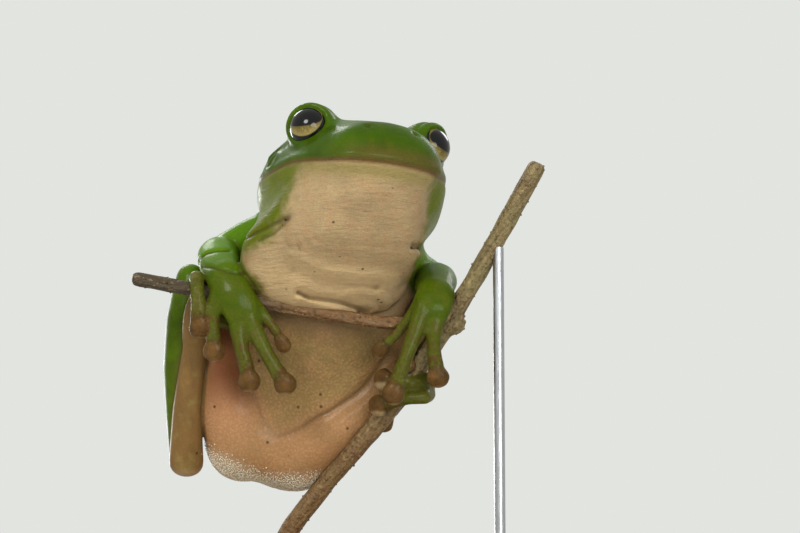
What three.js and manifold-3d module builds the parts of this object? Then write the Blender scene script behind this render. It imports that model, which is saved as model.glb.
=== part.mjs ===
// Green tree frog sitting up on a forked stem, held by a plain display stand. Life size, in
// millimetres, +Z up. The origin is the middle of the stand's underside. -Y is the side that
// the belly and the face are turned to, and +X is the frog's left.
import * as THREE from 'three';
import { mergeVertices } from 'three/addons/utils/BufferGeometryUtils.js';
import Module from 'manifold-3d';

const wasm = await Module();
wasm.setup();

// ---- Driving dimensions -------------------------------------------------------------------

const GAP = 0.3; // parting between two neighbouring solids
const SKIN_SIDES = 16; // points round the head and the trunk
const THIGH_SIDES = 10;
const LIMB_SIDES = 8;
const DIGIT_SIDES = 6;

// Head. Its own axes are across (to the frog's left), forward (to the snout) and up, and its
// origin is the middle of the mouth's plane between the jaw corners.
const HEAD_AT = [1.0, -7.9, 78.1];
const HEAD_YAW = 19; // degrees to the frog's left
const HEAD_PITCH = 8; // degrees, snout up
const HEAD_ROLL = 5.5; // degrees, left side down
const HEAD_BACK = -9; // where the head runs into the neck
const HEAD_FRONT = 19.5; // the snout's rounding begins here
const SNOUT_ROUND = 4.5;
const HEAD_SQUARE = 2.3; // exponent of the outline's superellipse, 2 is an ellipse
// Share of the length from back to front, half-width, height above and below the mouth.
const HEAD_PROFILE = [
  [0, 12.5, 8.5, 8.0],
  [0.25, 15.4, 10.2, 9.8],
  [0.5, 15.0, 10.5, 10.2],
  [0.74, 13.1, 9.6, 8.6],
  [0.91, 11.2, 8.1, 6.4],
  [1, 9.7, 7.0, 5.2],
];
const EYE_RADIUS = 3.5;
const EYE_AT = [10.2, 11.2, 7.3]; // head axes, mirrored for the other side
const ORBIT_RADIUS = 4.5;
const ORBIT_AT = [8.9, 10.4, 7.0];

// Throat, from under the chin down to the fold that hangs over the chest.
const THROAT_PATH = [
  [6.3, -24.6, 78.6], [2.7, -18.2, 73.4], [-0.4, -15.2, 70.4], [-2.2, -12.4, 67.4], [-3.0, -9.6, 63.4],
];
const THROAT_PROFILE = [
  [0, 9.0, 4.6, 3.0],
  [0.38, 13.2, 5.8, 6.0],
  [0.6, 13.0, 5.7, 7.2],
  [0.79, 13.9, 5.6, 8.0],
  [1, 13.0, 4.6, 7.0],
];

// Trunk, from the rump up to the nape: half-width, depth of the back and of the belly.
const TRUNK_PATH = [
  [-9.8, 7.4, 36.4], [-6.9, 4.8, 48.0], [-4.2, 3.4, 57.3],
  [-1.2, 2.0, 67.0], [1.2, -1.6, 75.0], [2.2, -7.0, 79.0],
];
const TRUNK_PROFILE = [
  [0, 9.0, 7.5, 6.5],
  [0.15, 12.6, 9.5, 8.6],
  [0.4, 15.2, 10.8, 11.0],
  [0.62, 14.6, 10.2, 11.0],
  [0.84, 13.6, 9.4, 8.5],
  [1, 12.4, 9.0, 7.0],
];

// Limbs: share of the length, half-width, half-thickness on both faces.
const UPPER_ARM = [[0, 3.8, 3.6, 3.6], [0.6, 3.1, 3.0, 3.0], [1, 2.9, 2.9, 2.9]];
const FOREARM = [[0, 3.1, 3.0, 3.0], [0.4, 3.5, 3.2, 3.2], [1, 3.4, 2.2, 2.2]];
const PALM = [[0, 3.3, 1.7, 1.7], [0.5, 3.4, 1.5, 1.5], [1, 3.2, 1.3, 1.3]];
const THIGH = [[0, 6.8, 6.5, 6.5], [0.4, 5.6, 5.6, 5.6], [0.75, 4.3, 4.4, 4.4], [1, 3.0, 3.0, 3.0]];
const SHANK = [[0, 2.6, 2.8, 2.8], [0.3, 3.1, 3.3, 3.3], [0.7, 2.7, 2.7, 2.7], [1, 2.2, 2.2, 2.2]];
const TARSUS = [[0, 3.0, 2.3, 2.3], [0.5, 2.4, 2.0, 2.0], [1, 2.0, 1.7, 1.7]];
const SOLE = [[0, 2.0, 1.6, 1.6], [0.6, 2.9, 1.5, 1.5], [1, 3.0, 1.3, 1.3]];
// A digit is slim up to its last joint and ends in a wide flat pad.
const DIGIT = [
  [0, 1.5, 1.2, 1.2], [0.4, 1.2, 1.05, 1.05], [0.74, 1.05, 0.95, 0.95],
  [0.86, 1.4, 0.95, 0.95], [1, 2.0, 1.1, 1.1],
];
const THUMB_SCALE = 0.68; // the innermost digit is thinner than the others

// The digits' own roots, knuckles and pads, for each hand and foot, innermost first.
const POSE = {
  right: {
    upperArm: [[-10.0, -2.5, 74.4], [-15.6, -1.6, 72.8], [-21.2, 0.6, 70.2]],
    forearm: [[-21.1, 0.6, 70.2], [-20.9, -6.6, 68.6], [-19.7, -12.5, 65.6]],
    palm: [[-19.5, -14.2, 65.0], [-17.4, -16.1, 61.0], [-15.5, -15.8, 57.4]],
    fingers: [
      [[-16.4, -15.3, 62.6], [-12.8, -15.1, 58.3], [-10.7, -14.7, 55.4], [-9.2, -14.0, 52.8]],
      [[-15.4, -15.7, 58.6], [-12.7, -16.0, 52.8], [-10.7, -15.8, 49.3], [-8.8, -15.1, 46.3]],
      [[-17.3, -15.7, 58.6], [-16.2, -15.8, 52.8], [-15.3, -15.5, 49.5], [-14.8, -14.9, 46.8]],
      [[-19.0, -15.3, 62.6], [-20.8, -15.4, 59.6], [-20.9, -15.1, 55.6], [-20.6, -14.6, 51.8]],
    ],
    thigh: [[-16.4, 2.4, 37.3], [-19.4, 0.2, 46.0], [-22.4, 1.8, 55.4], [-24.8, 1.6, 64.8]],
    shank: [[-25.8, -1.0, 65.9], [-27.3, -0.9, 54.0], [-27.3, 3.4, 34.8]],
    tarsus: [[-26.5, 1.2, 34.2], [-26.0, -2.8, 44.0], [-24.7, -5.1, 53.1]],
    sole: [[-24.8, -5.5, 54.0], [-23.8, -7.6, 58.2], [-22.4, -8.9, 61.4]],
    toes: [
      [[-20.6, -8.8, 61.6], [-17.6, -9.0, 62.4], [-14.6, -9.2, 61.6], [-12.2, -9.6, 60.4]],
      [[-21.2, -9.0, 62.2], [-19.0, -9.4, 64.2], [-17.0, -10.8, 64.0], [-15.4, -11.9, 63.0]],
      [[-22.2, -9.0, 62.6], [-21.2, -10.2, 65.0], [-20.6, -12.0, 65.6], [-20.2, -12.6, 65.4]],
      [
        [-23.5, -9.2, 61.2], [-23.9, -12.0, 64.9], [-23.5, -15.6, 62.6],
        [-23.1, -16.1, 58.8], [-22.9, -15.4, 55.6],
      ],
      [[-22.6, -8.6, 59.4], [-19.6, -9.4, 57.4], [-16.6, -10.0, 57.0], [-13.8, -10.2, 56.8]],
    ],
  },
  left: {
    upperArm: [[8.6, -2.0, 69.0], [12.6, 0.4, 67.8], [15.6, 1.0, 65.6]],
    forearm: [[15.6, 1.0, 65.6], [16.0, -6.0, 64.6], [15.6, -11.8, 62.8]],
    palm: [[15.9, -13.6, 62.4], [15.4, -15.5, 59.9], [14.9, -15.7, 57.9]],
    fingers: [
      [[13.4, -14.6, 60.4], [10.2, -13.8, 55.8], [8.0, -13.1, 53.6], [6.2, -12.0, 52.0]],
      [[13.9, -15.9, 59.6], [12.1, -16.2, 54.2], [10.3, -16.3, 49.3], [8.7, -15.8, 44.6]],
      [[16.6, -15.4, 59.4], [15.4, -15.7, 54.9], [15.4, -15.2, 51.7], [16.1, -14.6, 47.5]],
      [[16.8, -12.6, 60.0], [16.4, -8.6, 56.8], [14.2, -7.8, 53.1], [11.6, -9.2, 50.4]],
    ],
    thigh: [[-8.6, 3.4, 36.2], [-2.1, 1.3, 39.9], [4.7, 1.0, 45.5], [13.9, -1.4, 59.3]],
    shank: [[14.3, 0.6, 59.8], [7.8, 9.8, 52.0], [-0.8, 17.6, 42.2]],
    tarsus: [[-0.2, 15.2, 41.0], [4.6, 8.8, 45.2], [10.8, 0.8, 47.2]],
    sole: [[11.3, -0.2, 47.2], [13.1, -2.7, 47.0], [13.9, -4.7, 47.3]],
    toes: [
      [[13.9, -3.3, 47.5], [13.2, -4.7, 50.1], [13.9, -5.7, 52.7], [14.9, -6.3, 54.6]],
      [[13.2, -3.4, 47.2], [10.9, -3.8, 48.5], [8.5, -3.6, 47.9], [6.1, -3.4, 46.4]],
      [[14.6, -4.7, 47.4], [14.0, -10.3, 47.5], [10.8, -11.0, 46.8], [7.0, -8.6, 47.8]],
      [[14.5, -4.9, 46.1], [14.0, -10.4, 44.8], [10.7, -11.1, 44.5], [6.2, -8.6, 43.4]],
      [[12.6, -2.6, 46.6], [10.9, -2.6, 46.0], [8.9, -1.6, 43.6], [6.9, -0.2, 41.2]],
    ],
  },
};

// Stem: the thick diagonal branch and the thin level twig that leaves it at a node.
const BRANCH_RADIUS = 1.6;
const BRANCH_PATH = [
  [-13.4, 7.6, 15.0], [-6.8, 3.2, 26.5], [1.8, -1.7, 35.9], [7.5, -5.1, 42.3],
  [13.8, -8.6, 50.7], [18.1, -11.3, 57.4], [23.5, -14.5, 66.2], [32.4, -20.3, 81.9],
];
const BRANCH_NODE_AT = [18.8, -11.2, 56.9];
const BRANCH_NODE_RADIUS = 2.0;
const TWIG_RADIUS = 1.15;
const TWIG_PATH = [
  [-34.2, -13.7, 64.1], [-13.0, -13.0, 60.1], [-1.7, -12.5, 58.1],
  [9.8, -12.3, 56.6], [18.0, -11.6, 56.7],
];

// Stand.
const BASE_RADIUS = 40;
const BASE_HEIGHT = 6;
const BASE_EDGE = 1; // bevel of the base's rims
const BASE_SIDES = 24;
const ROD_RADIUS = 0.9;
const ROD_LOW_AT = [-13.4, 7.6];
const ROD_LOW_TOP = 16.5;
const ROD_HIGH_AT = [26.0, -16.1];
const ROD_HIGH_TOP = 70;

const COLOURS = {
  green: 0x4f7a16,
  pale: 0xa98a62,
  pad: 0x7e5c30,
  eye: 0x1c1a10,
  bark: 0x6f5636,
  wood: 0x3a2a1e,
  steel: 0x9a9c9e,
};

// ---- Shapes -------------------------------------------------------------------------------

const vector = (point) => new THREE.Vector3(...point);

// A profile's row at a share of the length, eased through its neighbours.
function rowAt(profile, share) {
  const last = profile.length - 1;
  let low = 0;
  while (low < last - 1 && profile[low + 1][0] < share) low += 1;
  const before = profile[Math.max(low - 1, 0)];
  const from = profile[low];
  const to = profile[low + 1];
  const after = profile[Math.min(low + 2, last)];
  const span = to[0] - from[0];
  const u = (share - from[0]) / span;
  return [1, 2, 3].map((column) => {
    const slopeFrom = ((to[column] - before[column]) / (to[0] - before[0])) * span;
    const slopeTo = ((after[column] - from[column]) / (after[0] - from[0])) * span;
    const rise = to[column] - from[column];
    const cubic = slopeFrom + slopeTo - 2 * rise;
    const square = 3 * rise - 2 * slopeFrom - slopeTo;
    return ((cubic * u + square) * u + slopeFrom) * u + from[column];
  });
}

// A closed body: rings of a superellipse along a smooth path, rounded off at both ends.
// `across` is the direction of the half-widths, and `grow` makes the whole body fatter.
function loft({ path, profile, across, sides, rings, capRings = 2, round = [1, 1], square = 2 }, grow) {
  const curve = new THREE.CatmullRomCurve3(path.map(vector));
  const positions = [];
  const ring = (share, along, shrink) => {
    const centre = curve.getPointAt(share);
    const tangent = curve.getTangentAt(share);
    const side = vector(across).addScaledVector(tangent, -vector(across).dot(tangent)).normalize();
    const up = new THREE.Vector3().crossVectors(tangent, side);
    const [width, above, below] = rowAt(profile, share).map((size) => (size + grow) * shrink);
    centre.addScaledVector(tangent, along);
    for (let i = 0; i < sides; i += 1) {
      const angle = (i / sides) * 2 * Math.PI;
      const bend = (value) => Math.sign(value) * Math.abs(value) ** (2 / square);
      const height = Math.sin(angle) > 0 ? above : below;
      const point = centre.clone().addScaledVector(side, width * bend(Math.cos(angle)));
      point.addScaledVector(up, height * bend(Math.sin(angle)));
      positions.push(...point.toArray());
    }
    return { centre, tangent };
  };
  const capLength = (share, factor) => {
    const [width, above, below] = rowAt(profile, share);
    return Math.min(width, (above + below) / 2) * factor + grow;
  };
  const startLength = capLength(0, round[0]);
  const endLength = capLength(1, round[1]);
  const turns = Array.from({ length: capRings }, (_, i) => ((i + 1) / (capRings + 1)) * (Math.PI / 2));
  turns.toReversed().forEach((turn) => ring(0, -startLength * Math.sin(turn), Math.cos(turn)));
  for (let i = 0; i <= rings; i += 1) ring(i / rings, 0, 1);
  turns.forEach((turn) => ring(1, endLength * Math.sin(turn), Math.cos(turn)));

  const ringCount = positions.length / 3 / sides;
  const startPole = ringCount * sides;
  const endPole = startPole + 1;
  positions.push(...curve.getPointAt(0).addScaledVector(curve.getTangentAt(0), -startLength).toArray());
  positions.push(...curve.getPointAt(1).addScaledVector(curve.getTangentAt(1), endLength).toArray());
  const index = [];
  for (let i = 0; i < sides; i += 1) {
    const next = (i + 1) % sides;
    index.push(startPole, next, i);
    for (let k = 0; k < ringCount - 1; k += 1) {
      const here = k * sides;
      const ahead = here + sides;
      index.push(here + i, here + next, ahead + next, here + i, ahead + next, ahead + i);
    }
    const top = (ringCount - 1) * sides;
    index.push(endPole, top + i, top + next);
  }
  const geometry = new THREE.BufferGeometry();
  geometry.setAttribute('position', new THREE.Float32BufferAttribute(positions, 3));
  geometry.setIndex(index);
  return geometry;
}

function ball(radius, centre, segments = 10) {
  return new THREE.SphereGeometry(radius, segments, 8).translate(...centre);
}

// ---- Joining and cutting ------------------------------------------------------------------

function solidOf(geometry) {
  const bare = geometry.clone();
  bare.deleteAttribute('normal');
  bare.deleteAttribute('uv');
  const merged = mergeVertices(bare, 1e-4);
  const vertProperties = new Float32Array(merged.attributes.position.array);
  const triVerts = new Uint32Array(merged.index.array);
  return new wasm.Manifold(new wasm.Mesh({ numProp: 3, vertProperties, triVerts }));
}

function geometryOf(solid) {
  const mesh = solid.getMesh();
  const geometry = new THREE.BufferGeometry();
  geometry.setAttribute('position', new THREE.BufferAttribute(new Float32Array(mesh.vertProperties), 3));
  geometry.setIndex(new THREE.BufferAttribute(new Uint32Array(mesh.triVerts), 1));
  geometry.computeVertexNormals();
  return geometry;
}

const join = (geometries) => geometries.map(solidOf).reduce((whole, part) => whole.add(part));

function largestOf(solid) {
  return solid.decompose().reduce((best, part) => (part.volume() > best.volume() ? part : best));
}

// ---- Head ---------------------------------------------------------------------------------

const radians = THREE.MathUtils.degToRad;
const headFrame = new THREE.Matrix4()
  .makeTranslation(...HEAD_AT)
  .multiply(new THREE.Matrix4().makeRotationZ(radians(HEAD_YAW)))
  .multiply(new THREE.Matrix4().makeRotationX(radians(-HEAD_PITCH)))
  .multiply(new THREE.Matrix4().makeRotationY(radians(HEAD_ROLL)));

// A place given across, forward and up in the head's axes.
function inHead([across, forward, up]) {
  return new THREE.Vector3(across, -forward, up).applyMatrix4(headFrame);
}

const headAcross = new THREE.Vector3(1, 0, 0).transformDirection(headFrame).toArray();
const mirrored = ([across, forward, up]) => [-across, forward, up];

function skull(grow) {
  const head = {
    path: [inHead([0, HEAD_BACK, 0]).toArray(), inHead([0, HEAD_FRONT, 0]).toArray()],
    profile: HEAD_PROFILE,
    across: headAcross,
    sides: SKIN_SIDES,
    rings: 6,
    capRings: 3,
    round: [0.5, SNOUT_ROUND / 5.25],
    square: HEAD_SQUARE,
  };
  const orbits = [ORBIT_AT, mirrored(ORBIT_AT)].map((at) => ball(ORBIT_RADIUS + grow, inHead(at).toArray()));
  return join([loft(head, grow), ...orbits]);
}

function throat(grow) {
  const fold = { path: THROAT_PATH, profile: THROAT_PROFILE, across: headAcross };
  return solidOf(loft({ ...fold, sides: SKIN_SIDES, rings: 4, round: [0.8, 0.7] }, grow));
}

// The half of space on one side of the mouth's plane: +1 above it, -1 below it.
function mouthSide(side, grow) {
  const reach = 60;
  const box = new THREE.BoxGeometry(reach, reach, reach);
  box.translate(0, 0, side * (reach / 2 + GAP / 2 - grow));
  return solidOf(box.applyMatrix4(headFrame));
}

const upperHead = (grow) => skull(grow).intersect(mouthSide(1, grow));
const lowerJaw = (grow) => skull(grow).add(throat(grow)).intersect(mouthSide(-1, grow));

// ---- Pieces -------------------------------------------------------------------------------

// Pieces in order of rank: each is cut back from all those before it.
const pieces = [];
const piece = (name, colour, roughness, make) => pieces.push({ name, colour, roughness, make });
const lofted = (spec) => (grow) => solidOf(loft(spec, grow));

const stem = (path, radius) => ({
  path,
  profile: [[0, radius * 1.1, radius * 1.1, radius * 1.1], [1, radius * 0.95, radius * 0.95, radius * 0.95]],
  across: [0, 1, 0],
  sides: 8,
  rings: path.length,
  capRings: 1,
  round: [0.15, 0.15],
});

piece('perch_branch', COLOURS.bark, 0.85, (grow) => {
  const node = ball(BRANCH_NODE_RADIUS + grow, BRANCH_NODE_AT, 8);
  return join([loft(stem(BRANCH_PATH, BRANCH_RADIUS), grow), node]);
});
piece('perch_twig', COLOURS.bark, 0.85, lofted(stem(TWIG_PATH, TWIG_RADIUS)));

for (const [side, at] of [['right', mirrored(EYE_AT)], ['left', EYE_AT]]) {
  piece(`eye_${side}`, COLOURS.eye, 0.08, (grow) => solidOf(ball(EYE_RADIUS + grow, inHead(at).toArray())));
}

piece('head', COLOURS.green, 0.4, upperHead);
piece('lower_jaw', COLOURS.pale, 0.5, lowerJaw);
piece('trunk', COLOURS.pale, 0.5, lofted({
  path: TRUNK_PATH,
  profile: TRUNK_PROFILE,
  across: [1, 0, 0],
  sides: SKIN_SIDES,
  rings: 7,
  round: [0.9, 0.6],
}));

// Widths lie level or upright, whichever is square to the limb, and never along the line of sight.
const acrossOf = (path) => {
  const run = vector(path.at(-1)).sub(vector(path[0]));
  return run.cross(new THREE.Vector3(0, 1, 0)).normalize().toArray();
};
const limbLoft = (path, profile) => {
  const sides = profile === THIGH ? THIGH_SIDES : LIMB_SIDES;
  return { path, profile, across: acrossOf(path), sides, rings: 4, round: [0.9, 0.9] };
};
const digitLoft = (path, profile) => {
  const across = acrossOf(path);
  return { path, profile, across, sides: DIGIT_SIDES, rings: 5, capRings: 1, round: [0.5, 1.5] };
};
const scaled = (profile, scale) => profile.map(([share, ...sizes]) => (
  [share, ...sizes.map((size) => size * scale)]
));

for (const [side, limb] of Object.entries(POSE)) {
  const segment = (name, path, profile) => {
    piece(`${name}_${side}`, COLOURS.green, 0.4, lofted(limbLoft(path, profile)));
  };
  const digits = (name, paths) => paths.forEach((path, i) => {
    const profile = i === 0 ? scaled(DIGIT, THUMB_SCALE) : DIGIT;
    piece(`${name}_${i + 1}_${side}`, COLOURS.pad, 0.4, lofted(digitLoft(path, profile)));
  });
  segment('upper_arm', limb.upperArm, UPPER_ARM);
  segment('forearm', limb.forearm, FOREARM);
  segment('hand', limb.palm, PALM);
  digits('finger', limb.fingers);
  segment('thigh', limb.thigh, THIGH);
  segment('shank', limb.shank, SHANK);
  segment('tarsus', limb.tarsus, TARSUS);
  segment('foot', limb.sole, SOLE);
  digits('toe', limb.toes);
}

// ---- Stand --------------------------------------------------------------------------------

function base(grow) {
  const inner = BASE_RADIUS - BASE_EDGE;
  const upper = BASE_HEIGHT - BASE_EDGE;
  const lower = [[0, 0], [inner, 0], [BASE_RADIUS, BASE_EDGE]];
  const outline = [...lower, [BASE_RADIUS, upper], [inner, BASE_HEIGHT], [0, BASE_HEIGHT]];
  const disc = new THREE.LatheGeometry(outline.map((point) => new THREE.Vector2(...point)), BASE_SIDES);
  return solidOf(disc.rotateX(Math.PI / 2).translate(0, 0, grow));
}

function rod([x, y], top) {
  return (grow) => {
    const height = top - BASE_HEIGHT;
    const bar = new THREE.CylinderGeometry(ROD_RADIUS + grow, ROD_RADIUS + grow, height, 12);
    return solidOf(bar.rotateX(Math.PI / 2).translate(x, y, BASE_HEIGHT + height / 2));
  };
}

piece('stand_base', COLOURS.wood, 0.5, base);
piece('stand_rod_low', COLOURS.steel, 0.3, rod(ROD_LOW_AT, ROD_LOW_TOP));
piece('stand_rod_high', COLOURS.steel, 0.3, rod(ROD_HIGH_AT, ROD_HIGH_TOP));

// ---- Assembly -----------------------------------------------------------------------------

const frog = new THREE.Group();
const kept = [];
for (const { name, colour, roughness, make } of pieces) {
  const cut = kept.reduce((solid, earlier) => solid.subtract(earlier), make(0));
  kept.push(make(GAP));
  const metalness = colour === COLOURS.steel ? 1 : 0;
  const material = new THREE.MeshStandardMaterial({ color: colour, roughness, metalness });
  const mesh = new THREE.Mesh(geometryOf(largestOf(cut)), material);
  mesh.name = name;
  frog.add(mesh);
}

export default frog;
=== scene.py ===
"""Green tree frog on a forked stem, with its display stand: the visible model."""

from math import cos, pi, radians, sin
from types import SimpleNamespace

import bmesh
import bpy
import numpy as np
import openvdb
from bpy.props import FloatProperty, FloatVectorProperty, IntProperty, PointerProperty
from bpy.types import Operator, Panel, PropertyGroup
from mathutils import Matrix, Vector, noise


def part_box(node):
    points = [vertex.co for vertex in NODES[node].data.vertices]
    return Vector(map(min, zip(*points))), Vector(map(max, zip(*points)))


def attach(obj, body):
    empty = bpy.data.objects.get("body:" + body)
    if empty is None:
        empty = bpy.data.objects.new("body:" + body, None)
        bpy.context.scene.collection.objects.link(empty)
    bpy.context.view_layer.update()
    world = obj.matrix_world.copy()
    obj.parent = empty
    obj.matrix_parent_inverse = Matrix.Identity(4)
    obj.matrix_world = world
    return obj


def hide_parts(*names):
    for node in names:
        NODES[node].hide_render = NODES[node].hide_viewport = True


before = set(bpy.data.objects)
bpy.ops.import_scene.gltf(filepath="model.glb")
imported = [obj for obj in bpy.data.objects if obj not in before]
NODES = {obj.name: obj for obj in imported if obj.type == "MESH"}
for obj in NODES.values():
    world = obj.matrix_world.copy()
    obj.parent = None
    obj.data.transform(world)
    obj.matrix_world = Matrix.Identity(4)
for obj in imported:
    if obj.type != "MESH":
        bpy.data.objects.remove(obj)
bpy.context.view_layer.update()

bl_info = {
    "name": "Tree Frog on a Stem",
    "version": (1, 0, 0),
    "blender": (4, 5, 0),
    "location": "View3D > Sidebar > Tree Frog",
    "description": "Builds a green tree frog's skin and eyes, its stem and its display stand",
    "category": "Object",
}

MM = 0.001
SIDES = ("right", "left")
OUTWARD = {"right": -1.0, "left": 1.0}
LEG = ("thigh", "shank", "tarsus", "foot")
ARM = ("upper_arm", "forearm", "hand")
FINGERS = tuple(f"finger_{number}" for number in (1, 2, 3, 4))
TOES = tuple(f"toe_{number}" for number in (1, 2, 3, 4, 5))


def sided(names, sides=SIDES):
    """Names of CAD nodes with their side."""
    return [f"{name}_{side}" for side in sides for name in names]


# The flesh, in groups that share a colouring
GROUPS = {
    "head": ["head"],
    "jaw": ["lower_jaw"],
    "trunk": ["trunk"],
    "thigh": sided(LEG[:1]),
    "arm": sided(ARM),
    "finger": sided(FINGERS),
    "shank": sided(LEG[1:2]),
    "tarsus": sided(LEG[2:]),
    "toe": sided(TOES),
}

CELL = 0.28
REACH = 4.6
PARTING = 0.17


# ---- Fields: signed distances in millimetres on a box of cells ----

class Field:
    """Distances to a surface, positive outside it, on cells counted from `low`."""

    def __init__(self, values, low):
        self.values = values
        self.low = np.asarray(low, int)

    @property
    def high(self):
        return self.low + self.values.shape

    def shared(self, other):
        """The slices of this field and of another that cover the same cells."""
        low = np.maximum(self.low, other.low)
        high = np.minimum(self.high, other.high)
        cuts = [zip(low - field.low, high - field.low) for field in (self, other)]
        return [tuple(slice(*pair) for pair in cut) for cut in cuts]

    def around(self, centre, reach):
        """The part of this field round a point, as a field that shares its values."""
        low = np.maximum(np.floor((centre - reach) / CELL).astype(int), self.low)
        high = np.minimum(np.ceil((centre + reach) / CELL).astype(int), self.high)
        here = tuple(slice(*pair) for pair in zip(low - self.low, high - self.low))
        return Field(self.values[here], low)

    def points(self):
        """X, Y and Z of the cells, each along its own axis."""
        axes = [(self.low[i] + np.arange(n)) * CELL for i, n in enumerate(self.values.shape)]
        return np.meshgrid(*axes, indexing="ij", sparse=True)

    def away(self, place):
        """The cells' distance from a place."""
        x, y, z = self.points()
        return np.sqrt((x - place[0]) ** 2 + (y - place[1]) ** 2 + (z - place[2]) ** 2)

    def sample(self, points):
        """The field's value at points, smoothly between the cells, and REACH outside its box."""
        place = points / CELL - self.low
        base = np.floor(place).astype(int)
        inside = np.all((base >= 0) & (base < np.array(self.values.shape) - 1), axis=1)
        base = np.where(inside[:, None], base, 0)
        part = np.where(inside[:, None], place - base, 0.0)
        total = np.zeros(len(points))
        for corner in np.ndindex(2, 2, 2):
            weight = np.prod(np.where(corner, part, 1.0 - part), axis=1)
            cell = base + corner
            total += weight * self.values[cell[:, 0], cell[:, 1], cell[:, 2]]
        return np.where(inside, total, REACH)

    def slope(self, points):
        """The direction in which the field grows, at points."""
        step = 0.5 * CELL
        grown = [self.sample(points + step * axis) - self.sample(points - step * axis) for axis in np.eye(3)]
        way = np.stack(grown, axis=1)
        return way / np.maximum(np.linalg.norm(way, axis=1, keepdims=True), 1e-9)

    def surface(self):
        """Points in millimetres, triangles and four-sided faces of the surface at zero."""
        grid = openvdb.FloatGrid(REACH)
        grid.gridClass = openvdb.GridClass.LEVEL_SET
        grid.copyFromArray(self.values)
        points, triangles, quads = grid.convertToPolygons()
        return (points + self.low) * CELL, triangles, quads


def triangles_of(name):
    """A CAD node's points in millimetres and its triangles."""
    mesh = NODES[name].data
    corners = np.empty(len(mesh.vertices) * 3, np.float32)
    mesh.vertices.foreach_get("co", corners)
    mesh.calc_loop_triangles()
    order = np.empty(len(mesh.loop_triangles) * 3, np.int32)
    mesh.loop_triangles.foreach_get("vertices", order)
    return corners.reshape(-1, 3) / MM, order.reshape(-1, 3)


def distances(points, triangles, quads=None, reach=REACH):
    """The field of a closed surface."""
    shape = {"triangles": np.ascontiguousarray(triangles, np.uint32)}
    if quads is not None and len(quads):
        shape["quads"] = np.ascontiguousarray(quads, np.uint32)
    band = openvdb.FloatGrid.createLevelSetFromPolygons(
        np.ascontiguousarray(points, np.float64),
        transform=openvdb.createLinearTransform(voxelSize=CELL),
        halfWidth=reach / CELL,
        **shape,
    )
    margin = max(reach, REACH)
    low = np.floor((points.min(0) - margin) / CELL).astype(int)
    high = np.ceil((points.max(0) + margin) / CELL).astype(int)
    values = np.empty(high - low + 1, np.float32)
    band.copyToArray(values, ijk=tuple(int(v) for v in low))
    return Field(values, low)


def empty(fields):
    """A field with nothing in it, on one box that holds several others."""
    low = np.min([field.low for field in fields], axis=0)
    high = np.max([field.high for field in fields], axis=0)
    return Field(np.full(high - low, REACH, np.float32), low)


def joined(fields):
    """The nearest of several fields."""
    whole = empty(fields)
    for field in fields:
        here, _ = whole.shared(field)
        np.minimum(whole.values[here], field.values, out=whole.values[here])
    return whole


def blurred(values, width):
    """Gaussian blur along each axis in turn; width is in millimetres."""
    sigma = width / CELL
    reach = int(np.ceil(sigma * 2.5))
    steps = np.arange(-reach, reach + 1)
    weights = np.exp(-0.5 * (steps / sigma) ** 2)
    weights = (weights / weights.sum()).astype(np.float32)
    for axis in range(3):
        pad = [(0, 0)] * 3
        pad[axis] = (reach, reach)
        padded = np.pad(values, pad, mode="edge")
        values = np.zeros_like(values)
        for step, weight in enumerate(weights):
            cut = [slice(None)] * 3
            cut[axis] = slice(step, step + values.shape[axis])
            values += weight * padded[tuple(cut)]
    return values


def melted(a, b, width):
    """The smaller of two fields, with a fillet `width` wide where they meet."""
    overlap = np.maximum(width - np.abs(a - b), 0.0) / width
    return np.minimum(a, b) - overlap * overlap * width * 0.25


def carved(a, b, width):
    """Field a without what lies inside field b, its new edge softened."""
    return -melted(-a, b, width)


def ramp(value, low, high):
    """Smooth step from 0 at low to 1 at high."""
    t = np.clip((value - low) / (high - low), 0.0, 1.0)
    return t * t * (3.0 - 2.0 * t)


def bump_at(value, centre, width):
    """A smooth bump of height 1 round a centre."""
    return np.exp(-((value - centre) / width) ** 2)


# ---- Head axes ----

class HeadAxes:
    """Across to the frog's left, forward to the snout and up from the mouth, in millimetres."""

    def __init__(self):
        self.eyes = {side: np.mean(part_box(f"eye_{side}"), axis=0) / MM for side in SIDES}
        low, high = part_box("eye_left")
        self.eye_radius = (high[0] - low[0]) / 2 / MM
        points, order = triangles_of("head")
        a, b, c = (points[order[:, i]] for i in range(3))
        normals = np.cross(b - a, c - a)
        palate = np.argmax(np.linalg.norm(normals, axis=1))
        up = -normals[palate] / np.linalg.norm(normals[palate])
        across = self.eyes["left"] - self.eyes["right"]
        across -= up * across.dot(up)
        across /= np.linalg.norm(across)
        self.rows = np.stack([across, np.cross(across, up), up])
        middle = (self.eyes["left"] + self.eyes["right"]) / 2
        self.origin = middle - up * (middle - a[palate]).dot(up)

    def local(self, x, y, z, origin=None):
        """Across, forward and up of points given by X, Y and Z."""
        shift = self.origin if origin is None else origin
        dx, dy, dz = x - shift[0], y - shift[1], z - shift[2]
        return [dx * row[0] + dy * row[1] + dz * row[2] for row in self.rows]

    def world(self, across, forward, up):
        return self.origin + np.array([across, forward, up]) @ self.rows


HEAD = HeadAxes()

# Lids, in degrees round the eye and millimetres
LID_AXIS = 45.0
LID_LEVEL = 2.0
LID_LONG = 69.0
LID_TALL = 52.0
LID_TILT = 14.0
LID_UPPER = 0.85
LID_LOWER = 0.4
EYE_REACH = 3.5
LID_TURN = (-0.6, 0.5)
LID_SLOPE = (-1.2, 0.5)
LID_MELT = 1.3
LID_EDGE = 0.35
# Folds beside the lids: how far out they lie and their width
LID_FOLD = (1.5, 0.35)
LID_LOW_FOLD = (2.5, 0.3)


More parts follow.
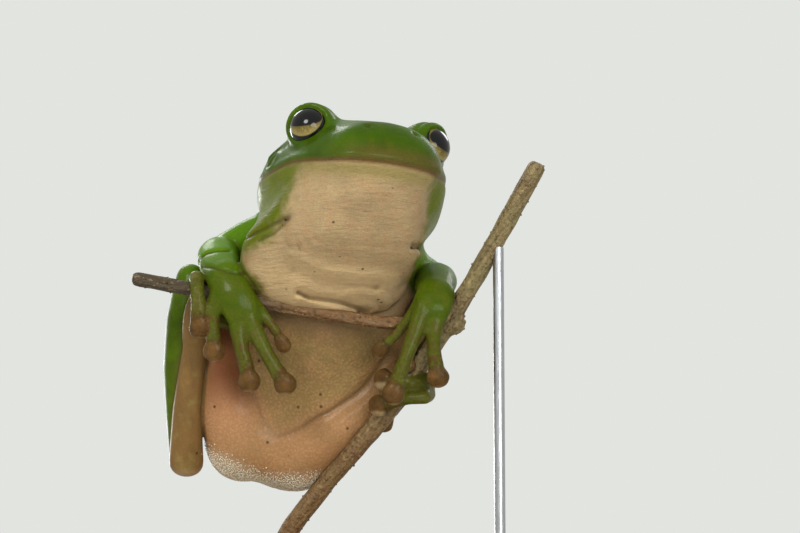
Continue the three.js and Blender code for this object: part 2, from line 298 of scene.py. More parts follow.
def round_eye(x, y, z, side):
    """Distance from the eye's centre, arc outside the lid opening, and how far up it is."""
    a, f, u = HEAD.local(x, y, z, HEAD.eyes[side])
    a = a * OUTWARD[side]
    r = np.sqrt(a * a + f * f + u * u) + 1e-6
    turn, rise = radians(LID_AXIS), radians(LID_LEVEL)
    axis = (sin(turn) * cos(rise), cos(turn) * cos(rise), sin(rise))
    nose = (-cos(turn), sin(turn), 0.0)
    top = (-sin(turn) * sin(rise), -cos(turn) * sin(rise), cos(rise))
    along, toward, over = ((a * w[0] + f * w[1] + u * w[2]) / r for w in (axis, nose, top))
    angle = np.arccos(np.clip(along, -1.0, 1.0))
    round_it = np.arctan2(over, toward) - radians(LID_TILT)
    edge = 1.0 / np.hypot(np.cos(round_it) / radians(LID_LONG), np.sin(round_it) / radians(LID_TALL))
    return r, (angle - edge) * HEAD.eye_radius, np.sin(round_it)


def with_lids(body, side):
    """Raises the lids round one eye and opens them."""
    radius = HEAD.eye_radius
    part = body.around(HEAD.eyes[side], radius + EYE_REACH)
    x, y, z = part.points()
    r, arc, over = round_eye(x, y, z, side)
    thick = LID_LOWER + (LID_UPPER - LID_LOWER) * ramp(over, *LID_TURN)
    fold = 0.22 * bump_at(arc, *LID_FOLD) + 0.16 * bump_at(arc, *LID_LOW_FOLD) * ramp(over, 0.6, 0.1)
    lids = r - radius - thick * ramp(arc, *LID_SLOPE) + fold
    values = melted(part.values, lids.astype(np.float32), LID_MELT)
    opening = np.maximum(np.maximum(arc, radius - 0.5 - r), r - radius - 2.4)
    part.values[...] = carved(values, opening, LID_EDGE)


# ---- Lips, nostrils and folds ----

LIP_LEVELS = (-1.5, 0.8)
LIP_RISE = (13.5, -1.0)
LIP_CORNER = (-15.0, -11.0)
# The groove where the lips close and the rolls above and below it: height, depth and width
LIP_FORM = ((-0.05, 0.15, 0.3), (0.8, -0.18, 0.7), (-0.9, -0.08, 0.5))
NOSTRIL_AT = (4.1, 11.6, 4.8)
NOSTRIL_RADIUS = 0.6
NOSTRIL_EDGE = 0.4

# Folds of the throat: places across and up in the head's axes, depth (a ridge's is negative), width.
THROAT_FOLDS = (
    (((-17.4, -10.4), (-15.1, -9.5), (-13.2, -8.7)), 0.5, 0.4),
    (((-16.4, -11.6), (-14.6, -10.9), (-13.2, -9.2)), 0.36, 0.38),
    (((-12.0, -13.9), (-8.5, -15.1), (-5.3, -16.0), (0.0, -15.9), (4.4, -15.4), (8.0, -14.8)), -0.34, 0.75),
    (((-10.5, -16.0), (-5.0, -17.2), (0.5, -17.2), (4.0, -16.6)), 0.24, 0.7),
    (((-8.5, -18.3), (-6.3, -18.8), (-0.8, -18.8), (4.7, -19.1)), 0.45, 0.35),
    (((-8.0, -19.3), (-4.0, -19.8), (0.5, -20.0), (5.0, -19.9)), -0.35, 0.4),
    (((-0.5, -17.7), (1.4, -17.4), (5.6, -17.3), (8.4, -17.8), (10.6, -18.6)), -0.3, 0.65),
    (((1.4, -18.1), (5.6, -18.0), (9.5, -19.0)), 0.22, 0.35),
    (((7.8, -10.6), (9.2, -10.1), (12.6, -8.8)), 0.6, 0.45),
    (((-9.0, -12.0), (-4.0, -12.6), (2.0, -12.2), (7.0, -11.2)), 0.12, 0.5),
    (((-13.0, -12.0), (-11.7, -13.4)), 0.16, 0.3),
    (((-11.9, -11.6), (-10.5, -13.2)), 0.16, 0.3),
    (((-10.7, -11.4), (-9.3, -13.0)), 0.16, 0.3),
    (((-9.5, -11.2), (-8.1, -12.6)), 0.14, 0.3),
)
THROAT_FRONT = (-15.0, -12.5)
# The ridge over the eardrum, on both sides: places forward and up in the head's axes.
EAR_FOLDS = (
    (((-3.8, 6.6), (-7.4, 6.6), (-10.2, 5.2)), -0.34, 0.8),
    (((-4.6, 4.8), (-7.4, 5.5), (-9.8, 4.0)), 0.2, 0.5),
)
EARDRUM_AT = (-7.0, 3.2)
EARDRUM_RADIUS = 1.4
EARDRUM_SINK = 0.2
EARDRUM_RIM = 0.16
EAR_SIDE = (7.0, 10.0)
# Folds of the right arm: places to the left and up in the frame's axes.
ARM_FOLDS = (
    (((-24.4, 66.6), (-23.7, 67.8), (-22.4, 68.6), (-20.8, 68.9), (-18.6, 69.0)), 0.36, 0.3),
    (((-22.9, 66.2), (-20.9, 65.6), (-19.0, 64.9), (-17.5, 64.5), (-15.8, 64.5)), 0.36, 0.3),
)
ARM_FRONT = (-6.0, -8.5)
CREASE_DEPTH = 0.4


def line_distance(a, b, places):
    """How far places on two axes are from a line through points."""
    nearest = None
    for (a0, b0), (a1, b1) in zip(places, places[1:]):
        run = (a1 - a0) ** 2 + (b1 - b0) ** 2
        share = np.clip(((a - a0) * (a1 - a0) + (b - b0) * (b1 - b0)) / run, 0.0, 1.0)
        away = np.hypot(a - a0 - share * (a1 - a0), b - b0 - share * (b1 - b0))
        nearest = away if nearest is None else np.minimum(nearest, away)
    return nearest


def folded(a, b, folds):
    """The depth of folds pressed into a surface, over two axes."""
    return sum(depth * bump_at(line_distance(a, b, places), 0.0, width) for places, depth, width in folds)


def creased(a, b, folds):
    """How much painted shade darkens the bottoms of folds, from 0 to 1."""
    deep = [fold for fold in folds if fold[1] > 0.3]
    return np.minimum(folded(a, b, deep) / CREASE_DEPTH, 1.0)


def lip_height(forward, up):
    """Height above the line where the lips close, which dips towards the snout."""
    low, high = LIP_LEVELS
    return up - low - (high - low) * ramp(forward, *LIP_RISE)


def with_face(body):
    """Shapes the lips, opens the nostrils and presses in the folds of the throat and the arm."""
    part = body.around(HEAD.world(0.0, -2.0, -6.0), 24.0)
    x, y, z = part.points()
    across, forward, up = HEAD.local(x, y, z)
    height = lip_height(forward, up)
    lips = sum(depth * bump_at(height, level, width) for level, depth, width in LIP_FORM)
    folds = folded(across, up, THROAT_FOLDS) * ramp(forward, *THROAT_FRONT)
    drum = np.hypot(forward - EARDRUM_AT[0], up - EARDRUM_AT[1]) - EARDRUM_RADIUS
    ear = EARDRUM_SINK * ramp(drum, 0.2, -0.4) - EARDRUM_RIM * bump_at(drum, 0.2, 0.35)
    ear = ear + folded(forward, up, EAR_FOLDS)
    folds += ear * ramp(np.abs(across), *EAR_SIDE)
    part.values += (lips * ramp(forward, *LIP_CORNER) + folds).astype(np.float32)
    for side in SIDES:
        at = HEAD.world(NOSTRIL_AT[0] * OUTWARD[side], *NOSTRIL_AT[1:])
        spot = body.around(at, 3.0)
        x, y, z = spot.points()
        hole = np.sqrt((x - at[0]) ** 2 + (y - at[1]) ** 2 + 1.6 * (z - at[2]) ** 2) - NOSTRIL_RADIUS
        spot.values[...] = carved(spot.values, hole.astype(np.float32), NOSTRIL_EDGE)


def with_arm_folds(arm):
    """Presses in the folds of the right arm's elbow and wrist."""
    x, y, z = arm.points()
    arm.values += (folded(x, z, ARM_FOLDS) * ramp(y, *ARM_FRONT)).astype(np.float32)


# ---- The skin's shape ----

BODY_SOFT = 1.2
CURTAIN_MIDDLE = -1.0
CURTAIN_SIDES = (7.0, 13.0)
CURTAIN_INSET = 3.0
CHIN_BACK = 1.0
CHIN_AT = (-3.4, 2.0)
POUCH_OUT = 1.3
POUCH_FROM = (-5.0, -13.0)
POUCH_TO = (-25.0, -14.0)
JAW_FILL = 9.0
JAW_FILL_FROM = (-0.5, -3.5)
SEAT_FILL = 11.0
NAPE_FILL = 8.0
NAPE_FROM = (-8.0, 1.0)
GROIN_AT = -1.1
GROIN_WIDTH = 0.7
GROIN_DEPTH = {"right": 0.3, "left": 0.7}
GROIN_NEAR = (7.0, 4.0)
GROIN_APART = (0.5, 3.0)
PAD_CREASE = 0.16
PAD_NECK = 2.7
PAD_END = 1.6
SHOULDER_WEB = 3.0
SHOULDER_ROUND = 5.0
CLOSEST_SHARE = 0.004


def node_field(name):
    points, order = triangles_of(name)
    return distances(points, order)


def lump(names, softness, swell=0.0):
    """CAD nodes as one smooth form: their partings closed and their facets worn off."""
    whole = joined([node_field(name) for name in names])
    whole.values -= PARTING
    if len(names) > 1:
        whole = distances(*whole.surface())
    whole.values = blurred(whole.values, softness) - swell
    return whole


def filled(field, radius):
    """A field with its hollows filled, out to fillets of a radius."""
    near = distances(*field.surface(), reach=radius + 2 * CELL)
    near.values -= radius
    far = distances(*near.surface(), reach=radius + 2 * CELL)
    far.values = np.clip(far.values + radius, -REACH, REACH)
    return far


def spread(field, whole):
    """A field on another's larger box."""
    wide = empty([whole])
    there, here = wide.shared(field)
    wide.values[there] = field.values[here]
    return wide.values


def add(body, part, width):
    """Melts a part into the body where it lies."""
    there, here = body.shared(part)
    body.values[there] = melted(body.values[there], part.values[here], width)


def throat_curtain():
    """The taut skin from the chin down to the throat's fold: a hull round the jaw's middle."""
    points, _ = triangles_of("lower_jaw")
    form = bmesh.new()
    for point in points:
        form.verts.new(point)
    form.verts.index_update()
    hull = bmesh.ops.convex_hull(form, input=form.verts)["geom"]
    corners = [[v.index for v in face.verts] for face in hull if isinstance(face, bmesh.types.BMFace)]
    form.free()
    curtain = distances(points, np.array(corners))
    curtain.values = blurred(curtain.values, BODY_SOFT) - 0.1
    x, y, z = curtain.points()
    across = HEAD.local(x, y, z)[0]
    beside = ramp(np.abs(across - CURTAIN_MIDDLE), *CURTAIN_SIDES).astype(np.float32)
    curtain.values += CURTAIN_INSET * beside
    return curtain


def head_lump():
    """Head and jaw, with the throat's skin drawn over the hollow under the chin."""
    head = lump(["head", "lower_jaw"], BODY_SOFT, 0.1)
    curtain = throat_curtain()
    whole = empty([head, curtain])
    add(whole, head, 0.01)
    add(whole, curtain, 1.5)
    x, y, z = whole.points()
    _, forward, up = HEAD.local(x, y, z)
    chin = CHIN_BACK * bump_at(up, *CHIN_AT) * ramp(forward, 1.0, 8.0)
    pouch = POUCH_OUT * ramp(up, *POUCH_FROM) * ramp(up, *POUCH_TO)
    whole.values += (chin - pouch).astype(np.float32)
    smooth = spread(filled(whole, JAW_FILL), whole)
    below = ramp(up, *JAW_FILL_FROM).astype(np.float32)
    whole.values += below * (smooth - whole.values)
    return whole


def seat_lump(parts):
    """Trunk and thighs as one rounded mass, with the creases of the groin pressed in."""
    trunk = lump(["trunk", "thigh_right", "thigh_left"], BODY_SOFT, 0.12)
    seat = filled(trunk, SEAT_FILL)
    belly = blurred(spread(parts["trunk"], seat), 0.6)
    legs = {side: blurred(spread(parts[f"thigh_{side}"], seat), 0.6) for side in SIDES}
    for side, other in zip(SIDES, SIDES[::-1]):
        near = ramp(legs[side] + belly, *GROIN_NEAR) * ramp(legs[other], *GROIN_APART)
        seat.values += GROIN_DEPTH[side] * near * bump_at(legs[side] - belly, GROIN_AT, GROIN_WIDTH)
    return seat


def with_nape(body):
    """Fills the step between the back of the head and the trunk."""
    closed = filled(body, NAPE_FILL)
    _, y, _ = closed.points()
    back = ramp(y, *NAPE_FROM).astype(np.float32)
    there, here = body.shared(closed)
    whole, smooth, back = body.values[there], closed.values[here], back[:, here[1]]
    body.values[there] = whole + back * (smooth - whole)


def contact(one, other):
    """The middle of where two neighbouring CAD nodes meet."""
    a, b = triangles_of(one)[0], triangles_of(other)[0]
    apart = np.linalg.norm(a[:, None] - b[None], axis=2)
    near = np.argwhere(apart < np.quantile(apart, CLOSEST_SHARE))
    return (a[near[:, 0]] + b[near[:, 1]]).mean(0) / 2


def padded_digit(name):
    """A finger or toe, with the crease round the neck of its pad."""
    digit = lump([name], 0.35, 0.06)
    neck = PAD_CREASE * bump_at(digit.away(digit_tip(name)), PAD_NECK, 0.35)
    digit.values += neck.astype(np.float32)
    return digit


def limb(side, lengths, digits, web):
    """A limb melted together; each length is its segments, their softness and its fillet."""
    parts = [(lump(sided(names, (side,)), soft, 0.08), width) for names, soft, width in lengths]
    parts += [(padded_digit(name), web) for name in sided(digits, (side,))]
    whole = empty([part for part, _ in parts])
    for part, width in parts:
        add(whole, part, width)
    return whole


def frog_field():
    """The whole frog, with each part's own field for its colours."""
    parts = {name: node_field(name) for names in GROUPS.values() for name in names}
    head = head_lump()
    seat = seat_lump(parts)
    arms, legs = {}, {}
    for side in SIDES:
        arms[side] = limb(side, ((ARM[:1], 0.8, 0.1), (ARM[1:], 0.7, 1.0)), FINGERS, 1.0)
        legs[side] = limb(side, ((LEG[1:2], 0.7, 0.1), (LEG[2:], 0.6, 0.5)), TOES, 0.7)
    frog = empty([head, seat, *arms.values(), *legs.values()])
    add(frog, head, 0.01)
    for side in SIDES:
        with_lids(frog, side)
    add(frog, seat, 0.5)
    with_nape(frog)
    with_face(frog)
    with_arm_folds(arms["right"])
    for side in SIDES:
        add(frog, legs[side], 0.35)
        shoulder = arms[side].away(contact(f"upper_arm_{side}", "trunk"))
        web = SHOULDER_WEB * bump_at(shoulder, 0.0, SHOULDER_ROUND)
        add(frog, arms[side], (0.35 + web).astype(np.float32))
    return frog, parts


def placed(name, data):
    """A new object in the scene."""
    piece = bpy.data.objects.new(name, data)
    bpy.context.scene.collection.objects.link(piece)
    return piece


def formed(name, form):
    """A new piece from a built form."""
    mesh = bpy.data.meshes.new(name)
    form.to_mesh(mesh)
    form.free()
    return placed(name, mesh)


def mesh_object(name, points, faces):
    """A smooth mesh object from points in millimetres and groups of faces."""
    mesh = bpy.data.meshes.new(name)
    faces = [group for group in faces if len(group)]
    counts = np.concatenate([np.full(len(group), group.shape[1]) for group in faces])
    starts = np.concatenate([[0], np.cumsum(counts)[:-1]]).astype(np.int32)
    corners = np.concatenate([group.ravel() for group in faces]).astype(np.int32)
    mesh.vertices.add(len(points))
    mesh.vertices.foreach_set("co", (points * MM).astype(np.float32).ravel())
    mesh.loops.add(len(corners))
    mesh.loops.foreach_set("vertex_index", corners)
    mesh.polygons.add(len(counts))
    mesh.polygons.foreach_set("loop_start", starts)
    mesh.polygons.foreach_set("loop_total", counts.astype(np.int32))
    mesh.update(calc_edges=True)
    mesh.validate()
    mesh.shade_smooth()
    return placed(name, mesh)


def points_of(piece):
    """A piece's points in millimetres."""
    values = np.empty(len(piece.data.vertices) * 3, np.float32)
    piece.data.vertices.foreach_get("co", values)
    return values.reshape(-1, 3).astype(float) / MM


def write_values(piece, name, values):
    """Stores a number or a vector for each point of a piece, for its material."""
    values = np.asarray(values, np.float32)
    kind, key = ("FLOAT", "value") if values.ndim == 1 else ("FLOAT_VECTOR", "vector")
    layer = piece.data.attributes.new(name, kind, "POINT")
    layer.data.foreach_set(key, values.ravel())


def evaluated(piece):
    """Makes a piece's modifiers part of its mesh, and takes them off."""
    bpy.context.view_layer.update()
    graph = bpy.context.evaluated_depsgraph_get()
    mesh = bpy.data.meshes.new_from_object(piece.evaluated_get(graph), depsgraph=graph)
    piece.modifiers.clear()
    old = piece.data
    piece.data = mesh
    bpy.data.meshes.remove(old)
    mesh.name = piece.name
    mesh.shade_smooth()


def finish_piece(piece, material, nodes=()):
    """Gives a piece its material, its body and its place in the record."""
    piece.data.materials.clear()
    piece.data.materials.append(material)
    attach(piece, "root")
    if nodes:
        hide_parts(*nodes)


# ---- Node trees ----

class Tree:
    """Adds and links nodes in a material's, a group's or a Geometry Nodes tree."""

    def __init__(self, tree):
        self.tree = tree

    def add(self, kind, inputs=None, **settings):
        """A new node's outputs; inputs are values or other nodes' outputs, by name or number."""
        node = self.tree.nodes.new(kind)
        for name, value in settings.items():
            setattr(node, name, value)
        for name, value in (inputs or {}).items():
            socket = node.inputs[name]
            if isinstance(value, bpy.types.NodeSocket):
                self.tree.links.new(value, socket)
            else:
                socket.default_value = value
        return node.outputs

    def math(self, operation, a, b=0.0, c=0.0):
        return self.add("ShaderNodeMath", {0: a, 1: b, 2: c}, operation=operation)[0]

    def times(self, a, b):
        return self.math("MULTIPLY", a, b)

    def span(self, value, low, high, to_low=0.0, to_high=1.0):
        """Smooth step of a value from one range to another."""
        inputs = {"Value": value, "From Min": low, "From Max": high, "To Min": to_low, "To Max": to_high}
        return self.add("ShaderNodeMapRange", inputs, interpolation_type="SMOOTHSTEP")[0]

    def mix(self, factor, a, b, blend="MIX"):
        """Colour a turning into colour b."""
        a, b = (v if isinstance(v, bpy.types.NodeSocket) else (*v[:3], 1.0) for v in (a, b))
        inputs = {0: factor, 6: a, 7: b}
        return self.add("ShaderNodeMix", inputs, data_type="RGBA", blend_type=blend)[2]

    def kept(self, name, output="Fac"):
        """Values that a piece keeps for its points."""
        return self.add("ShaderNodeAttribute", attribute_name=name)[output]

    def millimetres(self, stretch=(1.0, 1.0, 1.0)):
        """The piece's own coordinates in millimetres, stretched."""
        place = self.add("ShaderNodeTexCoord")["Object"]
        scale = [value / MM for value in stretch]
        return self.add("ShaderNodeMapping", {"Vector": place, "Scale": scale})[0]

    def painted(self, shape, material):
        """A shape's real mesh, smooth, in its material."""
        real = self.add("GeometryNodeRealizeInstances", {"Geometry": shape})[0]
        smooth = self.add("GeometryNodeSetShadeSmooth", {"Geometry": real})[0]
        return self.add("GeometryNodeSetMaterial", {"Geometry": smooth, "Material": material})[0]

    def put_out(self, name, value):
        """Joins a value to the group's output, and gives the group."""
        self.add("NodeGroupOutput")
        self.tree.links.new(value, self.tree.nodes[-1].inputs[name])
        return self.tree

    def layered(self, shade, *layers):
        """A colour under others: each a value, where it starts and is full on it, its most and its tone."""
        for value, start, full, most, tone in layers:
            shade = self.mix(self.span(value, start, full, 0.0, most), shade, tone)
        return shade

    def covered(self, shade, *layers):
        """A colour under others: each the name of the values kept for it, its most and its tone."""
        for name, most, tone in layers:
            shade = self.mix(self.times(self.kept(name), most), shade, tone)
        return shade

    def uneven(self, factor, shade, low, high):
        """A colour that runs from darker to lighter."""
        return self.mix(factor, shaded(shade, low), shaded(shade, high))


def new_material(name):
    """A material with an empty tree."""
    material = bpy.data.materials.new(name)
    material.use_nodes = True
    material.node_tree.nodes.clear()
    return material, Tree(material.node_tree)


def new_group(name, kind, output, inputs):
    """A tree with named sockets, and its inputs; each input is a name, a kind and a default."""
    group = bpy.data.node_groups.new(name, kind)
    for label, sort, default in inputs:
        socket = group.interface.new_socket(label, in_out="INPUT", socket_type=f"NodeSocket{sort}")
        if default is not None:
            socket.default_value = default
    label, sort = output
    group.interface.new_socket(label, in_out="OUTPUT", socket_type=f"NodeSocket{sort}")
    tree = Tree(group)
    return tree, tree.add("NodeGroupInput")


def mottle_group():
    """Uneven colour: soft cloudy patches, as contrast round a half."""
    inputs = [("Vector", "Vector", None)]
    inputs += [(name, "Float", 1.0) for name in ("Scale", "Detail", "Contrast")]
    tree, given = new_group("Mottle", "ShaderNodeTree", ("Mask", "Float"), inputs)
    cloud = tree.add("ShaderNodeTexNoise", {k: given[k] for k in ("Vector", "Scale", "Detail")})["Fac"]
    strong = tree.math("MULTIPLY_ADD", tree.math("SUBTRACT", cloud, 0.5), given["Contrast"], 0.5)
    return tree.put_out("Mask", tree.add("ShaderNodeClamp", {"Value": strong})[0])


def grain_group():
    """Small rounded grains with furrows between them, as a height."""
    inputs = [("Vector", "Vector", None), ("Scale", "Float", 1.0), ("Unevenness", "Float", 0.5)]
    tree, given = new_group("Grain", "ShaderNodeTree", ("Height", "Float"), inputs)
    where = {k: given[k] for k in ("Vector", "Scale")}
    domes = tree.span(tree.add("ShaderNodeTexVoronoi", where, feature="F1")["Distance"], 0.72, 0.1)
    shade = tree.add("ShaderNodeTexNoise", where)["Fac"]
    return tree.put_out("Height", tree.math("MULTIPLY_ADD", shade, given["Unevenness"], domes))


def grouped(tree, name, build, inputs):
    """A shared node group placed in a tree; it is built the first time that it is asked for."""
    group = bpy.data.node_groups.get(name) or build()
    return tree.add("ShaderNodeGroup", inputs, node_tree=group)[0]


def mottle(tree, vector, scale, detail=3.0, contrast=2.0):
    inputs = {"Vector": vector, "Scale": scale, "Detail": detail, "Contrast": contrast}
    return grouped(tree, "Mottle", mottle_group, inputs)


def grain(tree, vector, scale, unevenness=0.5):
    return grouped(tree, "Grain", grain_group, {"Vector": vector, "Scale": scale, "Unevenness": unevenness})


def bump(tree, height, depth, normal=None):
    """A bump of a depth in millimetres."""
    inputs = {"Height": height, "Distance": depth * MM, "Strength": 1.0}
    if normal is not None:
        inputs["Normal"] = normal
    return tree.add("ShaderNodeBump", inputs)[0]


def shader(tree, inputs):
    """The material's own Principled shader, joined to its output."""
    surface = tree.add("ShaderNodeBsdfPrincipled", inputs)[0]
    tree.add("ShaderNodeOutputMaterial", {"Surface": surface})


# ---- Settings ----

def linear(red, green, blue):
    """A colour given in 0-255 screen values, in linear light."""
    shades = [value / 255 for value in (red, green, blue)]
    return tuple(v / 12.92 if v <= 0.04045 else ((v + 0.055) / 1.055) ** 2.4 for v in shades)


def colour(name, description, *shade):
    """A colour setting."""
    return FloatVectorProperty(
        name=name, description=description, subtype="COLOR", size=3, min=0.0, max=1.0, default=linear(*shade)
    )


def length(name, description, millimetres):
    """A length setting."""
    size = millimetres * MM
    return FloatProperty(
        name=name, description=description, subtype="DISTANCE", unit="LENGTH", min=0.0, default=size
    )


class SkinSettings(PropertyGroup):
    """The frog's skin."""

    faces: IntProperty(
        name="Faces", description="Triangles in the skin", min=20000, max=199000, default=192000
    )
    head_green: colour("Head green", "Green of the head's top", 60, 90, 0)
    limb_green: colour("Limb green", "Green of the arms, hands and legs", 70, 93, 0)
    # Painted light: the arms' tops a lighter green, as if lit from behind
    arm_lit_green: colour("Arm green", "Brighter green of the arms' tops", 96, 144, 10)
    back_green: colour("Back green", "Green of the back", 62, 102, 0)
    jaw_olive: colour("Jaw olive", "Olive green of the jaw's sides", 96, 106, 4)
    throat: colour("Throat", "Pale skin under the jaw", 180, 154, 113)
    belly: colour("Belly", "Skin of the belly", 147, 118, 73)
    thigh: colour("Thigh", "Warm skin under the thighs", 188, 134, 96)
    # Painted shade: the thighs darker and redder high up, where the hands shade them
    thigh_painted_shade: colour("Thigh's fold", "Redder skin high on the thighs", 118, 68, 38)
    shin: colour("Shin", "Brownish skin of the lower legs", 126, 96, 54)
    pad: colour("Pads", "Skin of the round toe and finger pads", 98, 70, 34)
    lip: colour("Lip line", "Dark line where the mouth closes", 100, 72, 40)
    lip_edge: colour("Lip edge", "Pale band under the lip line", 150, 138, 78)
    # Partly the granules' own pale tone, partly painted glints: near white where backlight would sparkle on
    # them
    granule: colour("Granules", "Shiny granules under the rump", 232, 226, 206)
    pebbles: length("Pebbles", "Width of the belly's pebbled grain", 0.5)
    pebble_depth: length("Pebble depth", "Height of the belly's pebbled grain", 0.08)


class EyeSettings(PropertyGroup):
    """The frog's eyes."""

    iris: colour("Iris", "Golden brown of the iris", 118, 102, 46)
    iris_edge: colour("Iris edge", "Pale rim of the iris", 168, 150, 88)
    # The dark ring round the iris is partly its own dark rim, partly painted shade where the lids meet the
    # eye
    pupil: colour("Pupil", "Pupil and the dark ring round the iris", 6, 7, 6)
    pupil_wide: FloatProperty(
        name="Pupil width", description="Angle from the pupil's middle to its end", subtype="ANGLE",
        default=radians(54.0),
    )
    pupil_tall: FloatProperty(
        name="Pupil height", description="Angle from the pupil's middle to its edge", subtype="ANGLE",
        default=radians(33.0),
    )


class StemSettings(PropertyGroup):
    """The stem that the frog sits on."""

    bark: colour("Bark", "Bark in the light", 142, 120, 78)
    bark_dark: colour("Dark bark", "Bark in its furrows", 80, 54, 28)
    bark_brown: colour("Brown bark", "Browner bark of the stem's lower part", 118, 80, 42)
    bark_green: colour("Green bark", "Young green bark", 134, 126, 78)
    # Partly the twig's own reddish brown, partly painted shadow: near black towards the frog's right, under
    # its hand and throat
    twig: colour("Twig", "Reddish brown bark of the thin twig", 48, 35, 15)
    wart: length("Bark warts", "Width of the bark's small warts", 0.45)


class StandSettings(PropertyGroup):
    """The display stand."""

    wood: colour("Wood", "Base in the light grain", 150, 108, 68)
    wood_dark: colour("Wood grain", "Base in the dark grain", 104, 68, 38)
    steel: colour("Steel", "Rods", 176, 178, 180)
    bevel: length("Edge", "Rounding of the base's edge", 0.8)


class StageSettings(PropertyGroup):
    """Floor, light and camera."""

    backdrop: colour("Backdrop", "Floor and background", 226, 228, 224)
    lens: FloatProperty(name="Lens", description="Camera's focal length", unit="CAMERA", default=100.0)
    key: FloatProperty(name="Key light", description="Front lamps' power", subtype="POWER", default=4.8)
    rim: FloatProperty(name="Rim light", description="Back lamps' power", subtype="POWER", default=2.2)
    sky: FloatProperty(name="Sky light", description="Strength of the even light", min=0.0, default=0.32)


# ---- Skin ----

SHARE_SOFT = 0.45
OWN_WITHIN = 0.3
BODY_MIDDLE = 2.0
JAW_GREEN_MIDDLE = -2.2
JAW_GREEN_SPREAD = 0.25
LIP_LOWEST = -3.0
LIP_HALF = 0.38
LIP_EDGE_BAND = (-1.3, 1.1)
LIP_ABOVE_BAND = (1.2, 1.5)
HEEL_HIGHLIGHT = 0.8
GROIN_LINE = 0.4
BEND_STEP = 3.0 * CELL

# Where colours begin and are full: in millimetres, or as how far the skin faces a way, from -1 to 1
BANDS = {
    "above the lips": (-0.3, 0.3),
    "jaw's green": (6.8, 12.8),
    "jaw's back": (0.0, 0.5),
    "jaw's foot": (-14.5, -11.0),
    "neck": (60.0, 65.0),
    "back": (-0.25, 0.35),
    "leg's top": (0.25, 0.8),
    "arm's top": (-0.95, -0.35),
    "tarsus's back": (-0.3, 0.5),
    "tarsus's front": (0.4, -0.3),
    "pad": (3.4, 2.0),
    # Painted highlight along the pads' lower rims
    "pad's rim": (2.6, 2.2),
    "pad's foot": (-0.5, -1.2),
    "digit's end": (8.0, 3.0),
    "heel": (2.0, 0.5),
    "heel's foot": (1.6, 0.2),
    # Painted shade along the V of the groin
    "groin": (5.0, 2.5),
    "groin's front": (0.3, -0.3),
    "groin's left": (-9.0, -3.0),
    "lip's left": (-12.0, -3.0),
    # Painted light on the bottom of the throat's pouch
    "pouch": (-13.0, -16.5),
    "wrist": (70.0, 62.0),
    "throat": (-24.0, -15.0),
    "thigh's right": (-6.0, -18.0),
    "thigh's top": (36.0, 50.0),
}


def band(name, value):
    """How far a value is into one of the skin's bands, from 0 to 1."""
    return ramp(value, *BANDS[name])


def digit_masks(points, near, nearest):
    """The pads, the painted highlights on their lower rims, the painted shade in the creases at their necks
    and the digits' brown ends.
    """
    masks = np.zeros((4, len(points)))
    for name in GROUPS["finger"] + GROUPS["toe"]:
        tip = digit_tip(name)
        away = np.linalg.norm(points - tip, axis=1)
        own = near[name] < nearest + OWN_WITHIN
        rim = band("pad's rim", away) * band("pad's foot", points[:, 2] - tip[2])
        crook = bump_at(away, PAD_NECK, 0.4)
        found = np.stack([band("pad", away), rim, crook, band("digit's end", away)])
        masks = np.maximum(masks, own * found)
    return masks


